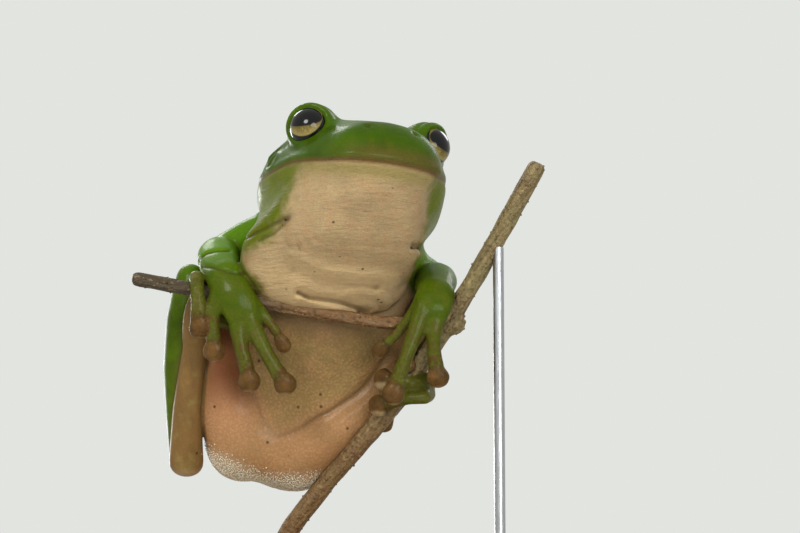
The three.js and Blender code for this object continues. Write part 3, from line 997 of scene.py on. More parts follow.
def skin_masks(piece, frog, parts):
    """Writes where each colour of the skin lies, from the parts' own fields."""
    points = points_of(piece)
    normals = frog.slope(points)
    near = {name: field.sample(points) for name, field in parts.items()}
    reach = {group: np.min([near[name] for name in names], axis=0) for group, names in GROUPS.items()}
    nearest = np.min(list(reach.values()), axis=0)
    share = {group: np.exp(-(away - nearest) / SHARE_SOFT) for group, away in reach.items()}
    total = sum(share.values())
    share = {group: part / total for group, part in share.items()}
    x, _, z = points.T
    across, forward, up = HEAD.local(*points.T)
    outward = normals[:, 0] * np.sign(x - BODY_MIDDLE)
    behind = normals[:, 1]

    face = share["head"] + share["jaw"]
    seat = share["trunk"] + share["thigh"]
    height = lip_height(forward, up)
    mouth = ramp(forward, *LIP_CORNER)
    above = band("above the lips", height) * mouth + 1.0 - mouth
    above = np.where(up > LIP_LOWEST, above, 0.0)
    mouth = mouth * face
    jaw_out = np.abs(across - JAW_GREEN_MIDDLE) + JAW_GREEN_SPREAD * np.minimum(up, 0.0)
    jaw_side = band("jaw's green", jaw_out)
    jaw_green = np.maximum(jaw_side, band("jaw's back", behind)) * band("jaw's foot", up)
    green = (
        face * (above + (1.0 - above) * jaw_green)
        + share["trunk"] * band("back", behind + 0.6 * band("neck", z) * outward)
        + share["thigh"] * band("leg's top", behind + 0.55 * outward)
        + share["arm"] * (0.75 + 0.25 * band("arm's top", normals[:, 2]))
        + share["finger"] * 0.8
        + share["shank"]
        + share["tarsus"] * (0.25 + 0.75 * band("tarsus's back", behind))
        + share["toe"] * 0.75
    )
    pad, rim, crook, ends = digit_masks(points, near, nearest)
    # Painted highlight: a pale shine along the bottom of each heel, kept with the pads' rims
    for side in SIDES:
        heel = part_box(f"tarsus_{side}")[0][2] / MM
        shine = share["tarsus"] * band("heel", near[f"tarsus_{side}"])
        rim = np.maximum(rim, HEEL_HIGHLIGHT * shine * band("heel's foot", z - heel))
    # Painted shade along the V of the groin, where the belly meets the thighs
    groin = bump_at(reach["thigh"] - reach["trunk"], GROIN_AT, GROIN_LINE)
    groin = groin * band("groin", reach["thigh"] + reach["trunk"])
    # Painted shade in the bottoms of the throat's and the right arm's folds
    creases = creased(across, up, THROAT_FOLDS) * ramp(forward, *THROAT_FRONT) * face
    arm_creases = creased(x, z, ARM_FOLDS) * ramp(points[:, 1], *ARM_FRONT) * share["arm"]
    warm = band("thigh's right", x) * (0.45 + 0.55 * band("thigh's top", z))
    ways = [BEND_STEP * way for axis in np.eye(3) for way in (axis, -axis)]
    masks = {
        "green": green,
        "head": face,
        "back": seat,
        "groin": groin * band("groin's front", behind) * (0.45 + 0.55 * band("groin's left", x)),
        "granule": seat * granule_mask(points, normals),
        "jaw_side": face * (1.0 - above) * jaw_side,
        "lip_above": mouth * bump_at(height, *LIP_ABOVE_BAND) * band("lip's left", across),
        # Painted light on the bottom of the pouch, which faces down
        "pouch": share["jaw"] * band("pouch", up),
        # Painted shade in the folds and in the creases at the pads' necks
        "crease": creases + arm_creases + 0.8 * crook,
        "digit": share["finger"] + share["toe"] + 0.45 * share["arm"] * band("wrist", z) + 0.8 * ends,
        "throat": share["jaw"] + share["trunk"] * band("throat", up),
        "thigh": share["thigh"] * np.maximum(warm, 0.4),
        "shin": share["tarsus"] * band("tarsus's front", behind),
        "pad": pad,
        "pad_rim_highlight": rim,
        "lip": mouth * bump_at(height, 0.0, LIP_HALF),
        "lip_edge": mouth * bump_at(height, *LIP_EDGE_BAND) * (1.0 - jaw_side),
        # Painted shade in hollows and painted light on ridges follow this bend of the surface
        "bend": np.mean([frog.sample(points + way) for way in ways], axis=0) / BEND_STEP * 6.0,
    }
    for name, values in masks.items():
        write_values(piece, name, values)


def digit_tip(name):
    """The middle of a digit's round pad: the end of the digit that is farther from its hand or foot."""
    side = name.rsplit("_", 1)[1]
    palm = triangles_of(f"hand_{side}" if name.startswith("finger") else f"foot_{side}")[0]
    points = triangles_of(name)[0]
    start = points.mean(0)
    ends = []
    for _ in range(2):
        away = np.linalg.norm(points - start, axis=1)
        start = points[away.argmax()]
        ends.append(points[away > away.max() - PAD_END].mean(0))
    return max(ends, key=lambda end: np.linalg.norm(palm - end, axis=1).min())


def skin_grain(tree, skin):
    """What the skin's colours and relief share: places, kinds of unevenness and the main masks."""
    place = tree.millimetres()
    return SimpleNamespace(
        place=place,
        rise=tree.add("ShaderNodeSeparateXYZ", {"Vector": place})["Z"],
        broad=mottle(tree, place, 0.16, 4.0, 2.6),
        cloud=mottle(tree, place, 0.5, 5.0, 2.2),
        fleck=mottle(tree, place, 2.2, 3.0, 2.0),
        wrinkles=mottle(tree, tree.millimetres((0.3, 0.3, 1.5)), 1.4, 3.0, 2.2),
        streaks=mottle(tree, tree.millimetres((0.5, 0.5, 0.2)), 1.0, 2.0, 2.2),
        pebbles=grain(tree, place, MM / skin.pebbles, 0.25),
        fine=grain(tree, place, 2.0 * MM / skin.pebbles, 0.3),
        green=tree.kept("green"),
        throat=tree.kept("throat"),
        digit=tree.kept("digit"),
        bend=tree.kept("bend"),
    )


def pale_skin(tree, skin, on):
    """The skin underneath: the belly, the throat and the thighs' undersides."""
    belly = tree.layered(
        tree.uneven(on.cloud, skin.belly, 0.84, 1.14),
        (on.broad, 0.45, 0.95, 0.45, shaded(skin.thigh, 0.95)),
        (on.broad, 0.45, 0.1, 0.5, shaded(skin.lip_edge, 0.62)),
        # Painted light: the belly lighter towards the bottom, darker at the top in the shade under the twig
        (on.rise, 53.0, 43.0, 0.6, shaded(skin.belly, 1.35)),
        # Painted shade in the furrows between the belly's pebbles
        (on.pebbles, 0.75, 0.25, 0.3, shaded(skin.belly, 0.5)),
    )
    throat = tree.layered(
        tree.uneven(on.broad, skin.throat, 0.8, 1.1),
        (on.cloud, 0.35, 0.95, 0.28, skin.thigh),
        # Painted shade in the furrows of the throat's wrinkles and fine grain
        (on.wrinkles, 0.6, 0.1, 0.22, shaded(skin.throat, 0.62)),
        (on.fine, 0.6, 0.2, 0.2, shaded(skin.throat, 0.6)),
    )
    # Painted light: the bottom of the pouch lighter, where it faces down away from the lamps
    throat = tree.covered(throat, ("pouch", 1.0, shaded(skin.throat, 1.25)))
    thigh = tree.layered(
        tree.uneven(on.broad, skin.thigh, 0.84, 1.12),
        # Painted shade in the furrows between the thigh's pebbles
        (on.pebbles, 0.8, 0.35, 0.16, shaded(skin.thigh, 0.6)),
        # Painted shade: the thighs darker and redder higher up
        (on.rise, 39.0, 50.0, 0.88, skin.thigh_painted_shade),
    )
    return tree.covered(
        # The granule mask whitens the skin between the granules too: partly pale skin, partly painted glints
        belly, ("throat", 1.0, throat), ("thigh", 1.0, thigh), ("granule", 0.4, shaded(skin.granule, 0.8))
    )


def green_skin(tree, skin, on):
    """The greens of the limbs, the back, the head and the jaw's sides."""
    limb = tree.uneven(on.cloud, skin.limb_green, 0.7, 1.2)
    # Painted light: the arms turn a lighter green higher up, towards the shoulders
    limb = tree.layered(limb, (on.rise, 63.0, 71.0, 0.7, skin.arm_lit_green))
    head = tree.uneven(on.broad, skin.head_green, 0.72, 1.2)
    head = tree.layered(head, (on.cloud, 0.55, 1.0, 0.35, shaded(skin.jaw_olive, 0.8)))
    return tree.covered(
        limb,
        ("back", 1.0, tree.uneven(on.broad, skin.back_green, 0.75, 1.2)),
        ("head", 1.0, head),
        ("jaw_side", 1.0, tree.uneven(on.cloud, skin.jaw_olive, 0.8, 1.15)),
    )


def skin_colour(tree, skin, on):
    """The greens over the pale skin, then the digits with painted highlights on their pads' rims, the lips,
    painted shade in the groin, the specks, and painted shade in hollows and creases with painted light on
    ridges.
    """
    ragged = tree.math("MULTIPLY_ADD", tree.math("SUBTRACT", on.cloud, 0.5), 0.45, on.green)
    shade = tree.mix(tree.span(ragged, 0.08, 0.92), pale_skin(tree, skin, on), green_skin(tree, skin, on))
    patchy = tree.math("MULTIPLY_ADD", on.fleck, 0.45, tree.times(on.cloud, 0.6))
    browned = tree.times(on.digit, tree.span(patchy, 0.3, 0.85, 0.05, 0.7))
    shin = tree.uneven(on.streaks, skin.shin, 0.84, 1.1)
    shade = tree.covered(
        tree.mix(browned, shade, shaded(skin.pad, 0.8)),
        ("shin", 1.0, tree.layered(shin, (on.cloud, 0.5, 1.0, 0.35, skin.lip_edge))),
        ("pad", 1.0, tree.uneven(on.cloud, skin.pad, 0.5, 1.35)),
        # Painted highlight on the pads' lower rims and along the heels
        ("pad_rim_highlight", 0.8, skin.throat),
        ("lip_above", 0.5, shaded(skin.lip, 1.1)),
        ("lip_edge", 0.7, skin.lip_edge),
        ("lip", 0.85, skin.lip),
        # Painted shade in the groin
        ("groin", 0.8, shaded(skin.shin, 0.5)),
    )
    shade = tree.layered(shade, (on.fleck, 0.2, 1.0, 0.12, shaded(skin.lip, 0.4)))
    spots = tree.add("ShaderNodeTexVoronoi", {"Vector": on.place, "Scale": 0.27}, feature="F1")["Distance"]
    speck = tree.times(tree.span(spots, 0.09, 0.05), tree.span(on.green, 0.6, 0.2))
    return tree.layered(
        tree.mix(tree.times(speck, 0.75), shade, shaded(skin.lip, 0.25)),
        # Painted shade in hollows and painted light on ridges
        (on.bend, -0.1, -0.9, 0.5, shaded(skin.shin, 0.3)),
        (on.bend, 0.9, 2.8, 0.25, shaded(skin.lip_edge, 1.1)),
        # Painted shade in folds and creases
        (tree.kept("crease"), 0.35, 1.0, 0.45, shaded(skin.lip, 0.4)),
    )


def skin_relief(tree, skin, on):
    """Creases and pebbles where the skin is pale, wrinkles on the throat and a fine grain all over."""
    smooth = tree.math("ADD", tree.kept("thigh"), tree.math("ADD", tree.kept("shin"), on.throat))
    beaded = tree.math("SUBTRACT", tree.span(on.green, 0.8, 0.2), tree.times(smooth, 0.8))
    creases = {"Vector": on.place, "Scale": 0.8, "Detail": 5.0, "Distortion": 0.6}
    creases = tree.add("ShaderNodeTexNoise", creases)["Fac"]
    normal = None
    for height, where, depth in (
        (creases, beaded, 0.1),
        (on.pebbles, tree.add("ShaderNodeClamp", {"Value": beaded})[0], skin.pebble_depth / MM),
        (on.wrinkles, on.throat, 0.09),
        (on.fleck, on.digit, 0.07),
        (on.fine, 1.0, 0.02),
    ):
        normal = bump(tree, tree.times(height, where), depth, normal)
    return normal


def skin_material(skin):
    """Moist frog skin: greens above, pale and pebbled below."""
    material, tree = new_material("frog_skin")
    on = skin_grain(tree, skin)
    shader(tree, {
        "Base Color": skin_colour(tree, skin, on),
        "Roughness": tree.span(on.cloud, 0.0, 1.0, 0.4, 0.52),
        "Normal": skin_relief(tree, skin, on),
        "Specular IOR Level": 0.05,
        "Subsurface Weight": 0.12,
        "Subsurface Radius": (1.0, 0.6, 0.25),
        "Subsurface Scale": 0.8 * MM,
        "Coat Weight": 0.12,
        "Coat Roughness": 0.14,
    })
    return material


def shaded(shade, factor):
    """A colour made lighter or darker."""
    return tuple(min(value * factor, 1.0) for value in shade[:3])


class FROG_OT_skin(Operator):
    """Build the frog's one skin over all its flesh"""

    bl_idname = "tree_frog.skin"
    bl_label = "Skin"

    def execute(self, context):
        settings = context.scene.frog_skin
        frog, parts = frog_field()
        points, triangles, quads = frog.surface()
        piece = mesh_object("skin", points, [triangles, quads])
        thinner = piece.modifiers.new("Thinner", "DECIMATE")
        thinner.ratio = min(1.0, settings.faces / (len(triangles) + 2 * len(quads)))
        evaluated(piece)
        skin_masks(piece, frog, parts)
        finish_piece(piece, skin_material(settings), list(parts))
        return {"FINISHED"}


# ---- Granules ----

GRANULES_PER_MM = 17.0
GRANULE_RADIUS = 0.115
GRANULE_TOP = (3.8, 0.8)
GRANULE_SIDE = -13.0
GRANULE_RISE = 0.45
GRANULE_FACING = (0.1, -0.45)
GRANULE_SIZES = (0.6, 1.25)
GRANULE_SEED = 7


def granule_mask(points, normals):
    """Where the rump's underside is set with granules."""
    bottom = min(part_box("trunk")[0][2], *[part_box(f"thigh_{side}")[0][2] for side in SIDES]) / MM
    side = np.maximum(GRANULE_SIDE - points[:, 0], 0.0)
    low = ramp(points[:, 2] - bottom - GRANULE_RISE * side, *GRANULE_TOP)
    return low * ramp(normals[:, 2], *GRANULE_FACING)


def granule_tree(material):
    """Small domes scattered over a surface where its granule mask says."""
    inputs = [
        ("Geometry", "Geometry", None),
        ("Density", "Float", 1.0),
        ("Radius", "Float", GRANULE_RADIUS * MM),
        ("Seed", "Int", GRANULE_SEED),
        ("Mask", "String", "granule"),
    ]
    tree, given = new_group("Granules", "GeometryNodeTree", ("Geometry", "Geometry"), inputs)
    mask = tree.add("GeometryNodeInputNamedAttribute", {"Name": given["Mask"]}, data_type="FLOAT")[0]
    density = tree.times(mask, given["Density"])
    spots = {"Mesh": given["Geometry"], "Density": density, "Seed": given["Seed"]}
    points = tree.add("GeometryNodeDistributePointsOnFaces", spots)
    dome = tree.add("GeometryNodeMeshIcoSphere", {"Radius": given["Radius"], "Subdivisions": 1})["Mesh"]
    sizes = {2: GRANULE_SIZES[0], 3: GRANULE_SIZES[1], "Seed": given["Seed"]}
    size = tree.add("FunctionNodeRandomValue", sizes, data_type="FLOAT")[1]
    grains = {"Points": points["Points"], "Instance": dome, "Rotation": points["Rotation"], "Scale": size}
    grains = tree.add("GeometryNodeInstanceOnPoints", grains)["Instances"]
    return tree.put_out("Geometry", tree.painted(grains, material))


def grow(name, source, group, values):
    """A new piece that a Geometry Nodes tree makes from a mesh."""
    piece = placed(name, source)
    nodes = piece.modifiers.new("Nodes", "NODES")
    nodes.node_group = group
    for item in group.interface.items_tree:
        if item.item_type == "SOCKET" and item.in_out == "INPUT" and item.name in values:
            nodes[item.identifier] = values[item.name]
    evaluated(piece)
    return piece


class FROG_OT_granules(Operator):
    """Set shiny granules along the underside of the rump"""

    bl_idname = "tree_frog.granules"
    bl_label = "Granules"

    def execute(self, context):
        settings = context.scene.frog_skin
        skin = bpy.data.objects["skin"]
        material, tree = new_material("granules")
        place = tree.millimetres()
        # Near white: partly the granules' pale tone, partly painted glints
        shade = tree.mix(mottle(tree, place, 1.2), shaded(settings.throat, 1.3), settings.granule)
        shader(tree, {
            "Base Color": shade,
            "Roughness": 0.25,
            "Coat Weight": 0.6,
            "Coat Roughness": 0.1,
            "Subsurface Weight": 0.2,
            "Subsurface Scale": 0.5 * MM,
        })
        density = GRANULES_PER_MM / MM ** 2
        values = {"Density": density, "Radius": GRANULE_RADIUS * MM, "Seed": GRANULE_SEED}
        piece = grow("granules", skin.data.copy(), granule_tree(material), values)
        finish_piece(piece, material)
        # A doubled face goes after the scattering, which counts the skin's faces
        skin.data.validate()
        return {"FINISHED"}


# ---- Eyes ----

GAZE_OUT = {"right": 42.0, "left": 39.0}
GAZE_UP = {"right": 16.0, "left": 10.0}
CORNEA = 0.12
CORNEA_FROM = (60.0, 30.0)
IRIS_RIM = 37.0
IRIS_EDGE = 53.0
IRIS_END = 57.0
# The pupil set higher stands partly for painted shade under the upper lid
PUPIL_RISE = 4.0


def gaze_axes(side):
    """Across the eye, up it and along its gaze, as rows in the frame's axes."""
    turn, rise = radians(GAZE_OUT[side]) * OUTWARD[side], radians(GAZE_UP[side])
    gaze = np.array([sin(turn) * cos(rise), cos(turn) * cos(rise), sin(rise)]) @ HEAD.rows
    up = HEAD.rows[2] - gaze * gaze.dot(HEAD.rows[2])
    up /= np.linalg.norm(up)
    return np.stack([np.cross(up, gaze), up, gaze])


def eye_piece(side):
    """An eyeball with a slight cornea, closed, with its look in the axes of its gaze."""
    form = bmesh.new()
    bmesh.ops.create_uvsphere(form, u_segments=72, v_segments=54, radius=1.0)
    piece = formed(f"eyeball_{side}", form)
    mesh = piece.data
    look = np.empty(len(mesh.vertices) * 3)
    mesh.vertices.foreach_get("co", look)
    look = look.reshape(-1, 3)
    angle = np.degrees(np.arccos(np.clip(look[:, 2], -1.0, 1.0)))
    radius = HEAD.eye_radius + CORNEA * ramp(angle, *CORNEA_FROM)
    points = HEAD.eyes[side] + (look * radius[:, None]) @ gaze_axes(side)
    mesh.vertices.foreach_set("co", (points * MM).ravel())
    mesh.update()
    mesh.shade_smooth()
    write_values(piece, "look", look)
    return piece


def eye_material(settings):
    """A wide black pupil in a golden iris, under a wet clear coat."""
    material, tree = new_material("frog_eye")
    look = tree.kept("look", "Vector")
    x, y, z = tree.add("ShaderNodeSeparateXYZ", {"Vector": look})
    wide = tree.math("DIVIDE", x, sin(settings.pupil_wide))
    raised = tree.math("SUBTRACT", y, sin(radians(PUPIL_RISE)))
    tall = tree.math("DIVIDE", raised, sin(settings.pupil_tall))
    pupil = tree.math("SQRT", tree.math("ADD", tree.math("POWER", wide, 2.0), tree.math("POWER", tall, 2.0)))
    angle = tree.math("ARCCOSINE", z)
    turn = tree.math("ARCTAN2", y, x)
    rays = tree.add("ShaderNodeCombineXYZ", {"X": tree.times(turn, 9.0), "Y": angle})[0]
    streaks = mottle(tree, rays, 2.2, 4.0, 2.6)
    specks = mottle(tree, look, 14.0, 3.0, 2.4)
    iris = tree.layered(
        tree.uneven(streaks, settings.iris, 0.45, 1.35),
        (specks, 0.55, 0.95, 0.6, settings.iris_edge),
        (angle, radians(IRIS_RIM), radians(IRIS_EDGE), 0.55, settings.iris_edge),
        (pupil, 1.25, 1.0, 0.5, shaded(settings.iris, 0.3)),
    )
    # The dark ring: partly the iris's own dark rim, partly painted shade where the lids meet the eye
    ring = tree.span(angle, radians(IRIS_EDGE), radians(IRIS_END))
    dark = tree.math("MAXIMUM", tree.span(pupil, 1.03, 0.97), ring)
    shader(tree, {
        "Base Color": tree.mix(dark, iris, settings.pupil),
        "Roughness": tree.span(dark, 0.0, 1.0, 0.4, 0.2),
        "Coat Weight": 0.5,
        "Coat Roughness": 0.02,
        "Specular IOR Level": 0.05,
    })
    return material


class FROG_OT_eyes(Operator):
    """Build both eyes"""

    bl_idname = "tree_frog.eyes"
    bl_label = "Eyes"

    def execute(self, context):
        material = eye_material(context.scene.frog_eyes)
        for side in SIDES:
            finish_piece(eye_piece(side), material, [f"eye_{side}"])
        return {"FINISHED"}


# ---- Stem ----

STEM_NODES = ("perch_branch", "perch_twig")
STEM_SOFT = 0.5
STEM_SWELL = 0.1
STEM_FILLET = 1.4
TWIG_FROM = (-0.5, 1.5)
WARTS_PER_MM = 0.16
WART_SEED = 3
FIBRES = ((1.1, 0.16), (2.6, 0.07))
FIBRE_STRETCH = 0.16


def long_axis(points):
    """The direction in which points are spread the most, upward or to the left."""
    _, _, rows = np.linalg.svd(points - points.mean(0), full_matrices=False)
    return rows * np.sign(rows[0, 0])


def stem_piece():
    """Branch and twig grown together, with their bark's fibres in relief."""
    nodes = [node_field(name) for name in STEM_NODES]
    whole = empty(nodes)
    for field in nodes:
        add(whole, Field(blurred(field.values, STEM_SOFT) - STEM_SWELL, field.low), STEM_FILLET)
    points, triangles, quads = whole.surface()
    grain_at = np.zeros_like(points)
    reach = np.stack([field.sample(points) for field in nodes])
    thin = ramp(reach[0] - reach[1], *TWIG_FROM)
    for name, nearest in zip(STEM_NODES, (reach[0] <= reach[1], reach[0] > reach[1])):
        corners = triangles_of(name)[0]
        rows = long_axis(corners)
        turned = (points[nearest] - corners.mean(0)) @ rows.T
        grain_at[nearest] = turned[:, ::-1] * (1.0, 1.0, FIBRE_STRETCH)
    raised = np.zeros(len(points))
    for fineness, height in FIBRES:
        raised += height * np.array([noise.noise(Vector(spot * fineness)) for spot in grain_at])
    points += raised[:, None] * whole.slope(points)
    piece = mesh_object("stem_bark", points, [triangles, quads])
    write_values(piece, "grain", grain_at)
    write_values(piece, "thin", thin)
    return piece


def bark_material(settings):
    """Thin brown bark with lengthwise fibres, greener where it is young."""
    material, tree = new_material("stem_bark")
    place = tree.millimetres()
    along = tree.kept("grain", "Vector")
    fibres = mottle(tree, along, 1.7, 6.0, 2.8)
    patches = mottle(tree, place, 0.12, 4.0, 3.0)
    specks = mottle(tree, place, 1.5, 4.0, 2.6)
    lie = tree.add("ShaderNodeSeparateXYZ", {"Vector": place})
    shade = tree.mix(fibres, settings.bark_dark, settings.bark)
    shade = tree.mix(tree.times(patches, 0.6), shade, settings.bark_green)
    shade = tree.layered(shade, (lie["Z"], 56.0, 34.0, 0.55, settings.bark_brown))
    # Painted shadow: the twig darkest towards the frog's right, lighter towards the frog's middle
    twig = tree.layered(settings.twig, (lie["X"], -18.0, -4.0, 1.0, shaded(settings.bark_brown, 0.9)))
    shade = tree.layered(
        tree.covered(shade, ("thin", 0.85, twig)),
        (specks, 0.6, 0.95, 0.6, shaded(settings.bark_dark, 0.6)),
        (specks, 0.25, 0.05, 0.4, shaded(settings.bark, 1.5)),
    )
    normal = bump(tree, grain(tree, place, 1.6), 0.1)
    normal = bump(tree, fibres, 0.16, normal)
    shader(tree, {
        "Base Color": shade,
        "Roughness": tree.span(fibres, 0.0, 1.0, 0.75, 0.55),
        "Normal": normal,
    })
    return material


class FROG_OT_stem(Operator):
    """Build the stem and the warts on its bark"""

    bl_idname = "tree_frog.stem"
    bl_label = "Stem"

    def execute(self, context):
        settings = context.scene.frog_stem
        material = bark_material(settings)
        piece = stem_piece()
        write_values(piece, "granule", np.ones(len(piece.data.vertices)))
        values = {"Density": WARTS_PER_MM / MM ** 2, "Radius": settings.wart / 2, "Seed": WART_SEED}
        warts = grow("bark_warts", piece.data.copy(), granule_tree(material), values)
        finish_piece(warts, material)
        finish_piece(piece, material, STEM_NODES)
        return {"FINISHED"}


# ---- Stand ----

BASE_SEGMENTS = 128
ROD_SEGMENTS = 24


def wood_material(settings):
    """Oiled wood, its grain running across the base."""
    material, tree = new_material("stand_wood")
    place = tree.millimetres((0.05, 0.6, 0.6))
    rings = mottle(tree, place, 0.55, 5.0, 2.4)
    pores = mottle(tree, tree.millimetres((0.25, 4.0, 4.0)), 1.0, 3.0, 2.6)
    shade = tree.mix(rings, settings.wood_dark, settings.wood)
    shade = tree.layered(shade, (pores, 0.6, 0.95, 0.5, shaded(settings.wood_dark, 0.6)))
    shader(tree, {
        "Base Color": shade,
        "Roughness": tree.span(pores, 0.0, 1.0, 0.38, 0.55),
        "Normal": bump(tree, pores, 0.04),
        "Coat Weight": 0.15,
        "Coat Roughness": 0.3,
    })
    return material


def steel_material(settings):
    """Brushed steel."""
    material, tree = new_material("stand_steel")
    brushed = mottle(tree, tree.millimetres((2.0, 2.0, 0.2)), 2.0, 3.0, 2.0)
    shader(tree, {
        "Base Color": tree.mix(brushed, shaded(settings.steel, 0.82), settings.steel),
        "Metallic": 1.0,
        "Roughness": tree.span(brushed, 0.0, 1.0, 0.28, 0.42),
        "Normal": bump(tree, brushed, 0.01),
    })
    return material


def rod_tree(material):
    """A round rod between two points, with closed ends."""
    inputs = [
        ("Geometry", "Geometry", None),
        ("Foot", "Vector", None),
        ("Top", "Vector", None),
        ("Radius", "Float", MM),
        ("Segments", "Int", ROD_SEGMENTS),
    ]
    tree, given = new_group("Rod", "GeometryNodeTree", ("Geometry", "Geometry"), inputs)
    line = tree.add("GeometryNodeCurvePrimitiveLine", {"Start": given["Foot"], "End": given["Top"]})["Curve"]
    ring = {"Radius": given["Radius"], "Resolution": given["Segments"]}
    ring = tree.add("GeometryNodeCurvePrimitiveCircle", ring)["Curve"]
    tube = {"Curve": line, "Profile Curve": ring, "Fill Caps": True}
    tube = tree.add("GeometryNodeCurveToMesh", tube)["Mesh"]
    return tree.put_out("Geometry", tree.painted(tube, material))


class FROG_OT_stand(Operator):
    """Build the round wooden base and its two steel rods"""

    bl_idname = "tree_frog.stand"
    bl_label = "Stand"

    def execute(self, context):
        settings = context.scene.frog_stand
        low, high = (np.array(corner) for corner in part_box("stand_base"))
        radius = (high[0] - low[0]) / 2
        form = bmesh.new()
        bmesh.ops.create_cone(
            form, cap_ends=True, segments=BASE_SEGMENTS, radius1=radius, radius2=radius,
            depth=high[2] - low[2], matrix=Matrix.Translation((low + high) / 2),
        )
        edges = [edge for edge in form.edges if len({round(v.co.z, 6) for v in edge.verts}) == 1]
        bmesh.ops.bevel(form, geom=edges, offset=settings.bevel, segments=3, profile=0.5, affect="EDGES")
        finish_piece(formed("base", form), wood_material(settings), ["stand_base"])
        steel = steel_material(settings)
        for name in ("stand_rod_low", "stand_rod_high"):
            low, high = (np.array(corner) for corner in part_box(name))
            middle = (low + high)[:2] / 2
            radius = (high[0] - low[0]) / 2
            ends = {"Foot": (*middle, low[2]), "Top": (*middle, high[2]), "Radius": radius}
            source = bpy.data.meshes.new(name)
            rod = grow(name.replace("stand_rod", "rod"), source, rod_tree(steel), ends)
            finish_piece(rod, steel, [name])
        return {"FINISHED"}


# ---- Stage ----

CAMERA_AIM = Vector((9.85, -14.0, 66.0)) * MM
CAMERA_AWAY = 367.0 * MM
CAMERA_RISE = radians(8.0)
FLOOR_RADIUS = 1.6
FLOOR_FADE = (0.15, 0.8)
# Lamps: place and size in metres, the setting of their power and their share of it
LAMPS = {
    "key": ((-0.35, -0.7, 0.5), 0.3, "key", 0.8),
    "fill": ((0.3, -0.8, 0.1), 0.5, "key", 0.9),
    "rim_right": ((-0.3, 0.6, 0.6), 0.3, "rim", 1.0),
    "rim_left": ((0.4, 0.55, 0.5), 0.3, "rim", 0.6),
    "rim_low": ((-0.35, 0.6, 0.06), 0.3, "rim", 1.0),
}


def lamp(name, place, size, power):
    """A round soft light at a place, turned to the frog."""
    light = bpy.data.lights.new(name, "AREA")
    light.shape = "DISK"
    light.energy = power
    light.size = size
    holder = placed(name, light)
    holder.location = place
    holder.rotation_euler = (CAMERA_AIM - holder.location).to_track_quat("-Z", "Y").to_euler()


def background_rays(tree):
    """1 where a background shows: before the camera, in reflections and through glass."""
    rays = tree.add("ShaderNodeLightPath")
    seen = tree.math("MAXIMUM", rays["Is Camera Ray"], rays["Is Glossy Ray"])
    return tree.math("MAXIMUM", seen, rays["Is Transmission Ray"])


def backdrop_world(settings):
    """Even light all round, with the backdrop's own pale colour behind the frog."""
    world = bpy.data.worlds.new("studio")
    world.use_nodes = True
    world.node_tree.nodes.clear()
    tree = Tree(world.node_tree)
    light = tree.add("ShaderNodeBackground", {"Color": (1.0, 1.0, 1.0, 1.0), "Strength": settings.sky})[0]
    pale = tree.add("ShaderNodeBackground", {"Color": (*settings.backdrop, 1.0), "Strength": 1.0})[0]
    both = tree.add("ShaderNodeMixShader", {0: background_rays(tree), 1: light, 2: pale})[0]
    tree.add("ShaderNodeOutputWorld", {"Surface": both})
    bpy.context.scene.world = world


def floor_piece(settings):
    """A round pale floor."""
    form = bmesh.new()
    bmesh.ops.create_circle(form, cap_ends=True, segments=96, radius=FLOOR_RADIUS)
    floor = formed("floor", form)
    material, tree = new_material("floor_paper")
    tone = mottle(tree, tree.millimetres(), 0.02, 2.0, 0.6)
    pale = tree.mix(tone, shaded(settings.backdrop, 0.97), settings.backdrop)
    paper = tree.add("ShaderNodeBsdfPrincipled", {"Base Color": pale, "Roughness": 0.8})[0]
    even = tree.add("ShaderNodeEmission", {"Color": (*settings.backdrop, 1.0), "Strength": 1.0})[0]
    place = tree.add("ShaderNodeTexCoord")["Object"]
    away = tree.add("ShaderNodeVectorMath", {0: place}, operation="LENGTH")["Value"]
    far = tree.times(tree.span(away, *FLOOR_FADE), background_rays(tree))
    both = tree.add("ShaderNodeMixShader", {0: far, 1: paper, 2: even})[0]
    tree.add("ShaderNodeOutputMaterial", {"Surface": both})
    floor.data.materials.append(material)


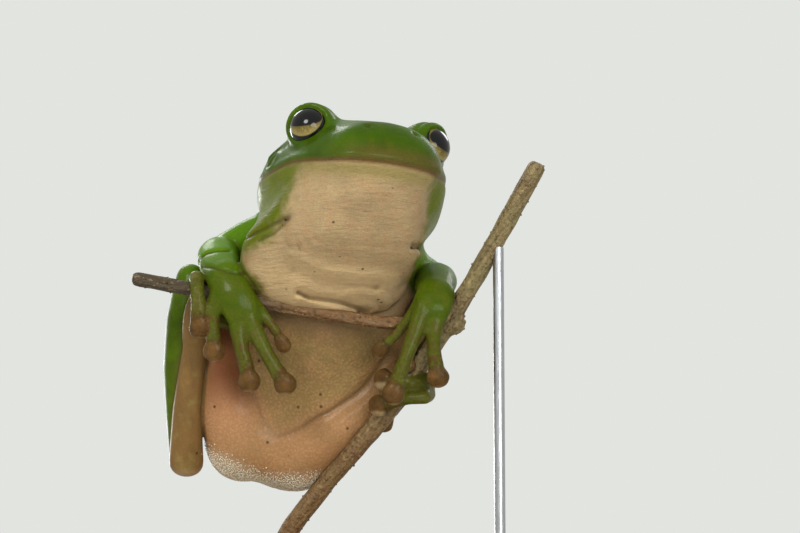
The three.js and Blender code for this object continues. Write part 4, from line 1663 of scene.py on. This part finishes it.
class FROG_OT_stage(Operator):
    """Set the floor, the lights and the camera"""

    bl_idname = "tree_frog.stage"
    bl_label = "Stage"

    def execute(self, context):
        settings = context.scene.frog_stage
        floor_piece(settings)
        backdrop_world(settings)
        for name, (place, size, power, share) in LAMPS.items():
            lamp(name, place, size, getattr(settings, power) * share)
        camera = bpy.data.cameras.new("camera")
        camera.lens = settings.lens
        camera.sensor_width = 36.0
        camera.clip_start = 0.01
        holder = placed("camera", camera)
        away = Vector((0.0, -cos(CAMERA_RISE), -sin(CAMERA_RISE))) * CAMERA_AWAY
        holder.location = CAMERA_AIM + away
        holder.rotation_euler = (pi / 2 + CAMERA_RISE, 0.0, 0.0)
        context.scene.camera = holder
        context.scene.view_settings.view_transform = "Standard"
        return {"FINISHED"}


# ---- Add-on ----

class FROG_PT_parts(Panel):
    """The frog's pieces and their settings"""

    bl_idname = "FROG_PT_parts"
    bl_label = "Tree Frog"
    bl_space_type = "VIEW_3D"
    bl_region_type = "UI"
    bl_category = "Tree Frog"

    def draw(self, context):
        for name, _, operators in SECTIONS:
            box = self.layout.box()
            settings = getattr(context.scene, name)
            for operator in operators:
                box.operator(operator.bl_idname)
            for key in settings.__annotations__:
                box.prop(settings, key)


SECTIONS = (
    ("frog_skin", SkinSettings, (FROG_OT_skin, FROG_OT_granules)),
    ("frog_eyes", EyeSettings, (FROG_OT_eyes,)),
    ("frog_stem", StemSettings, (FROG_OT_stem,)),
    ("frog_stand", StandSettings, (FROG_OT_stand,)),
    ("frog_stage", StageSettings, (FROG_OT_stage,)),
)


def register():
    for name, settings, operators in SECTIONS:
        bpy.utils.register_class(settings)
        setattr(bpy.types.Scene, name, PointerProperty(type=settings))
        for operator in operators:
            bpy.utils.register_class(operator)
    bpy.utils.register_class(FROG_PT_parts)


def unregister():
    bpy.utils.unregister_class(FROG_PT_parts)
    for name, settings, operators in reversed(SECTIONS):
        for operator in operators:
            bpy.utils.unregister_class(operator)
        delattr(bpy.types.Scene, name)
        bpy.utils.unregister_class(settings)


def main():
    register()
    bpy.ops.tree_frog.skin()
    bpy.ops.tree_frog.granules()
    bpy.ops.tree_frog.eyes()
    bpy.ops.tree_frog.stem()
    bpy.ops.tree_frog.stand()
    bpy.ops.tree_frog.stage()


if __name__ == "__main__":
    main()
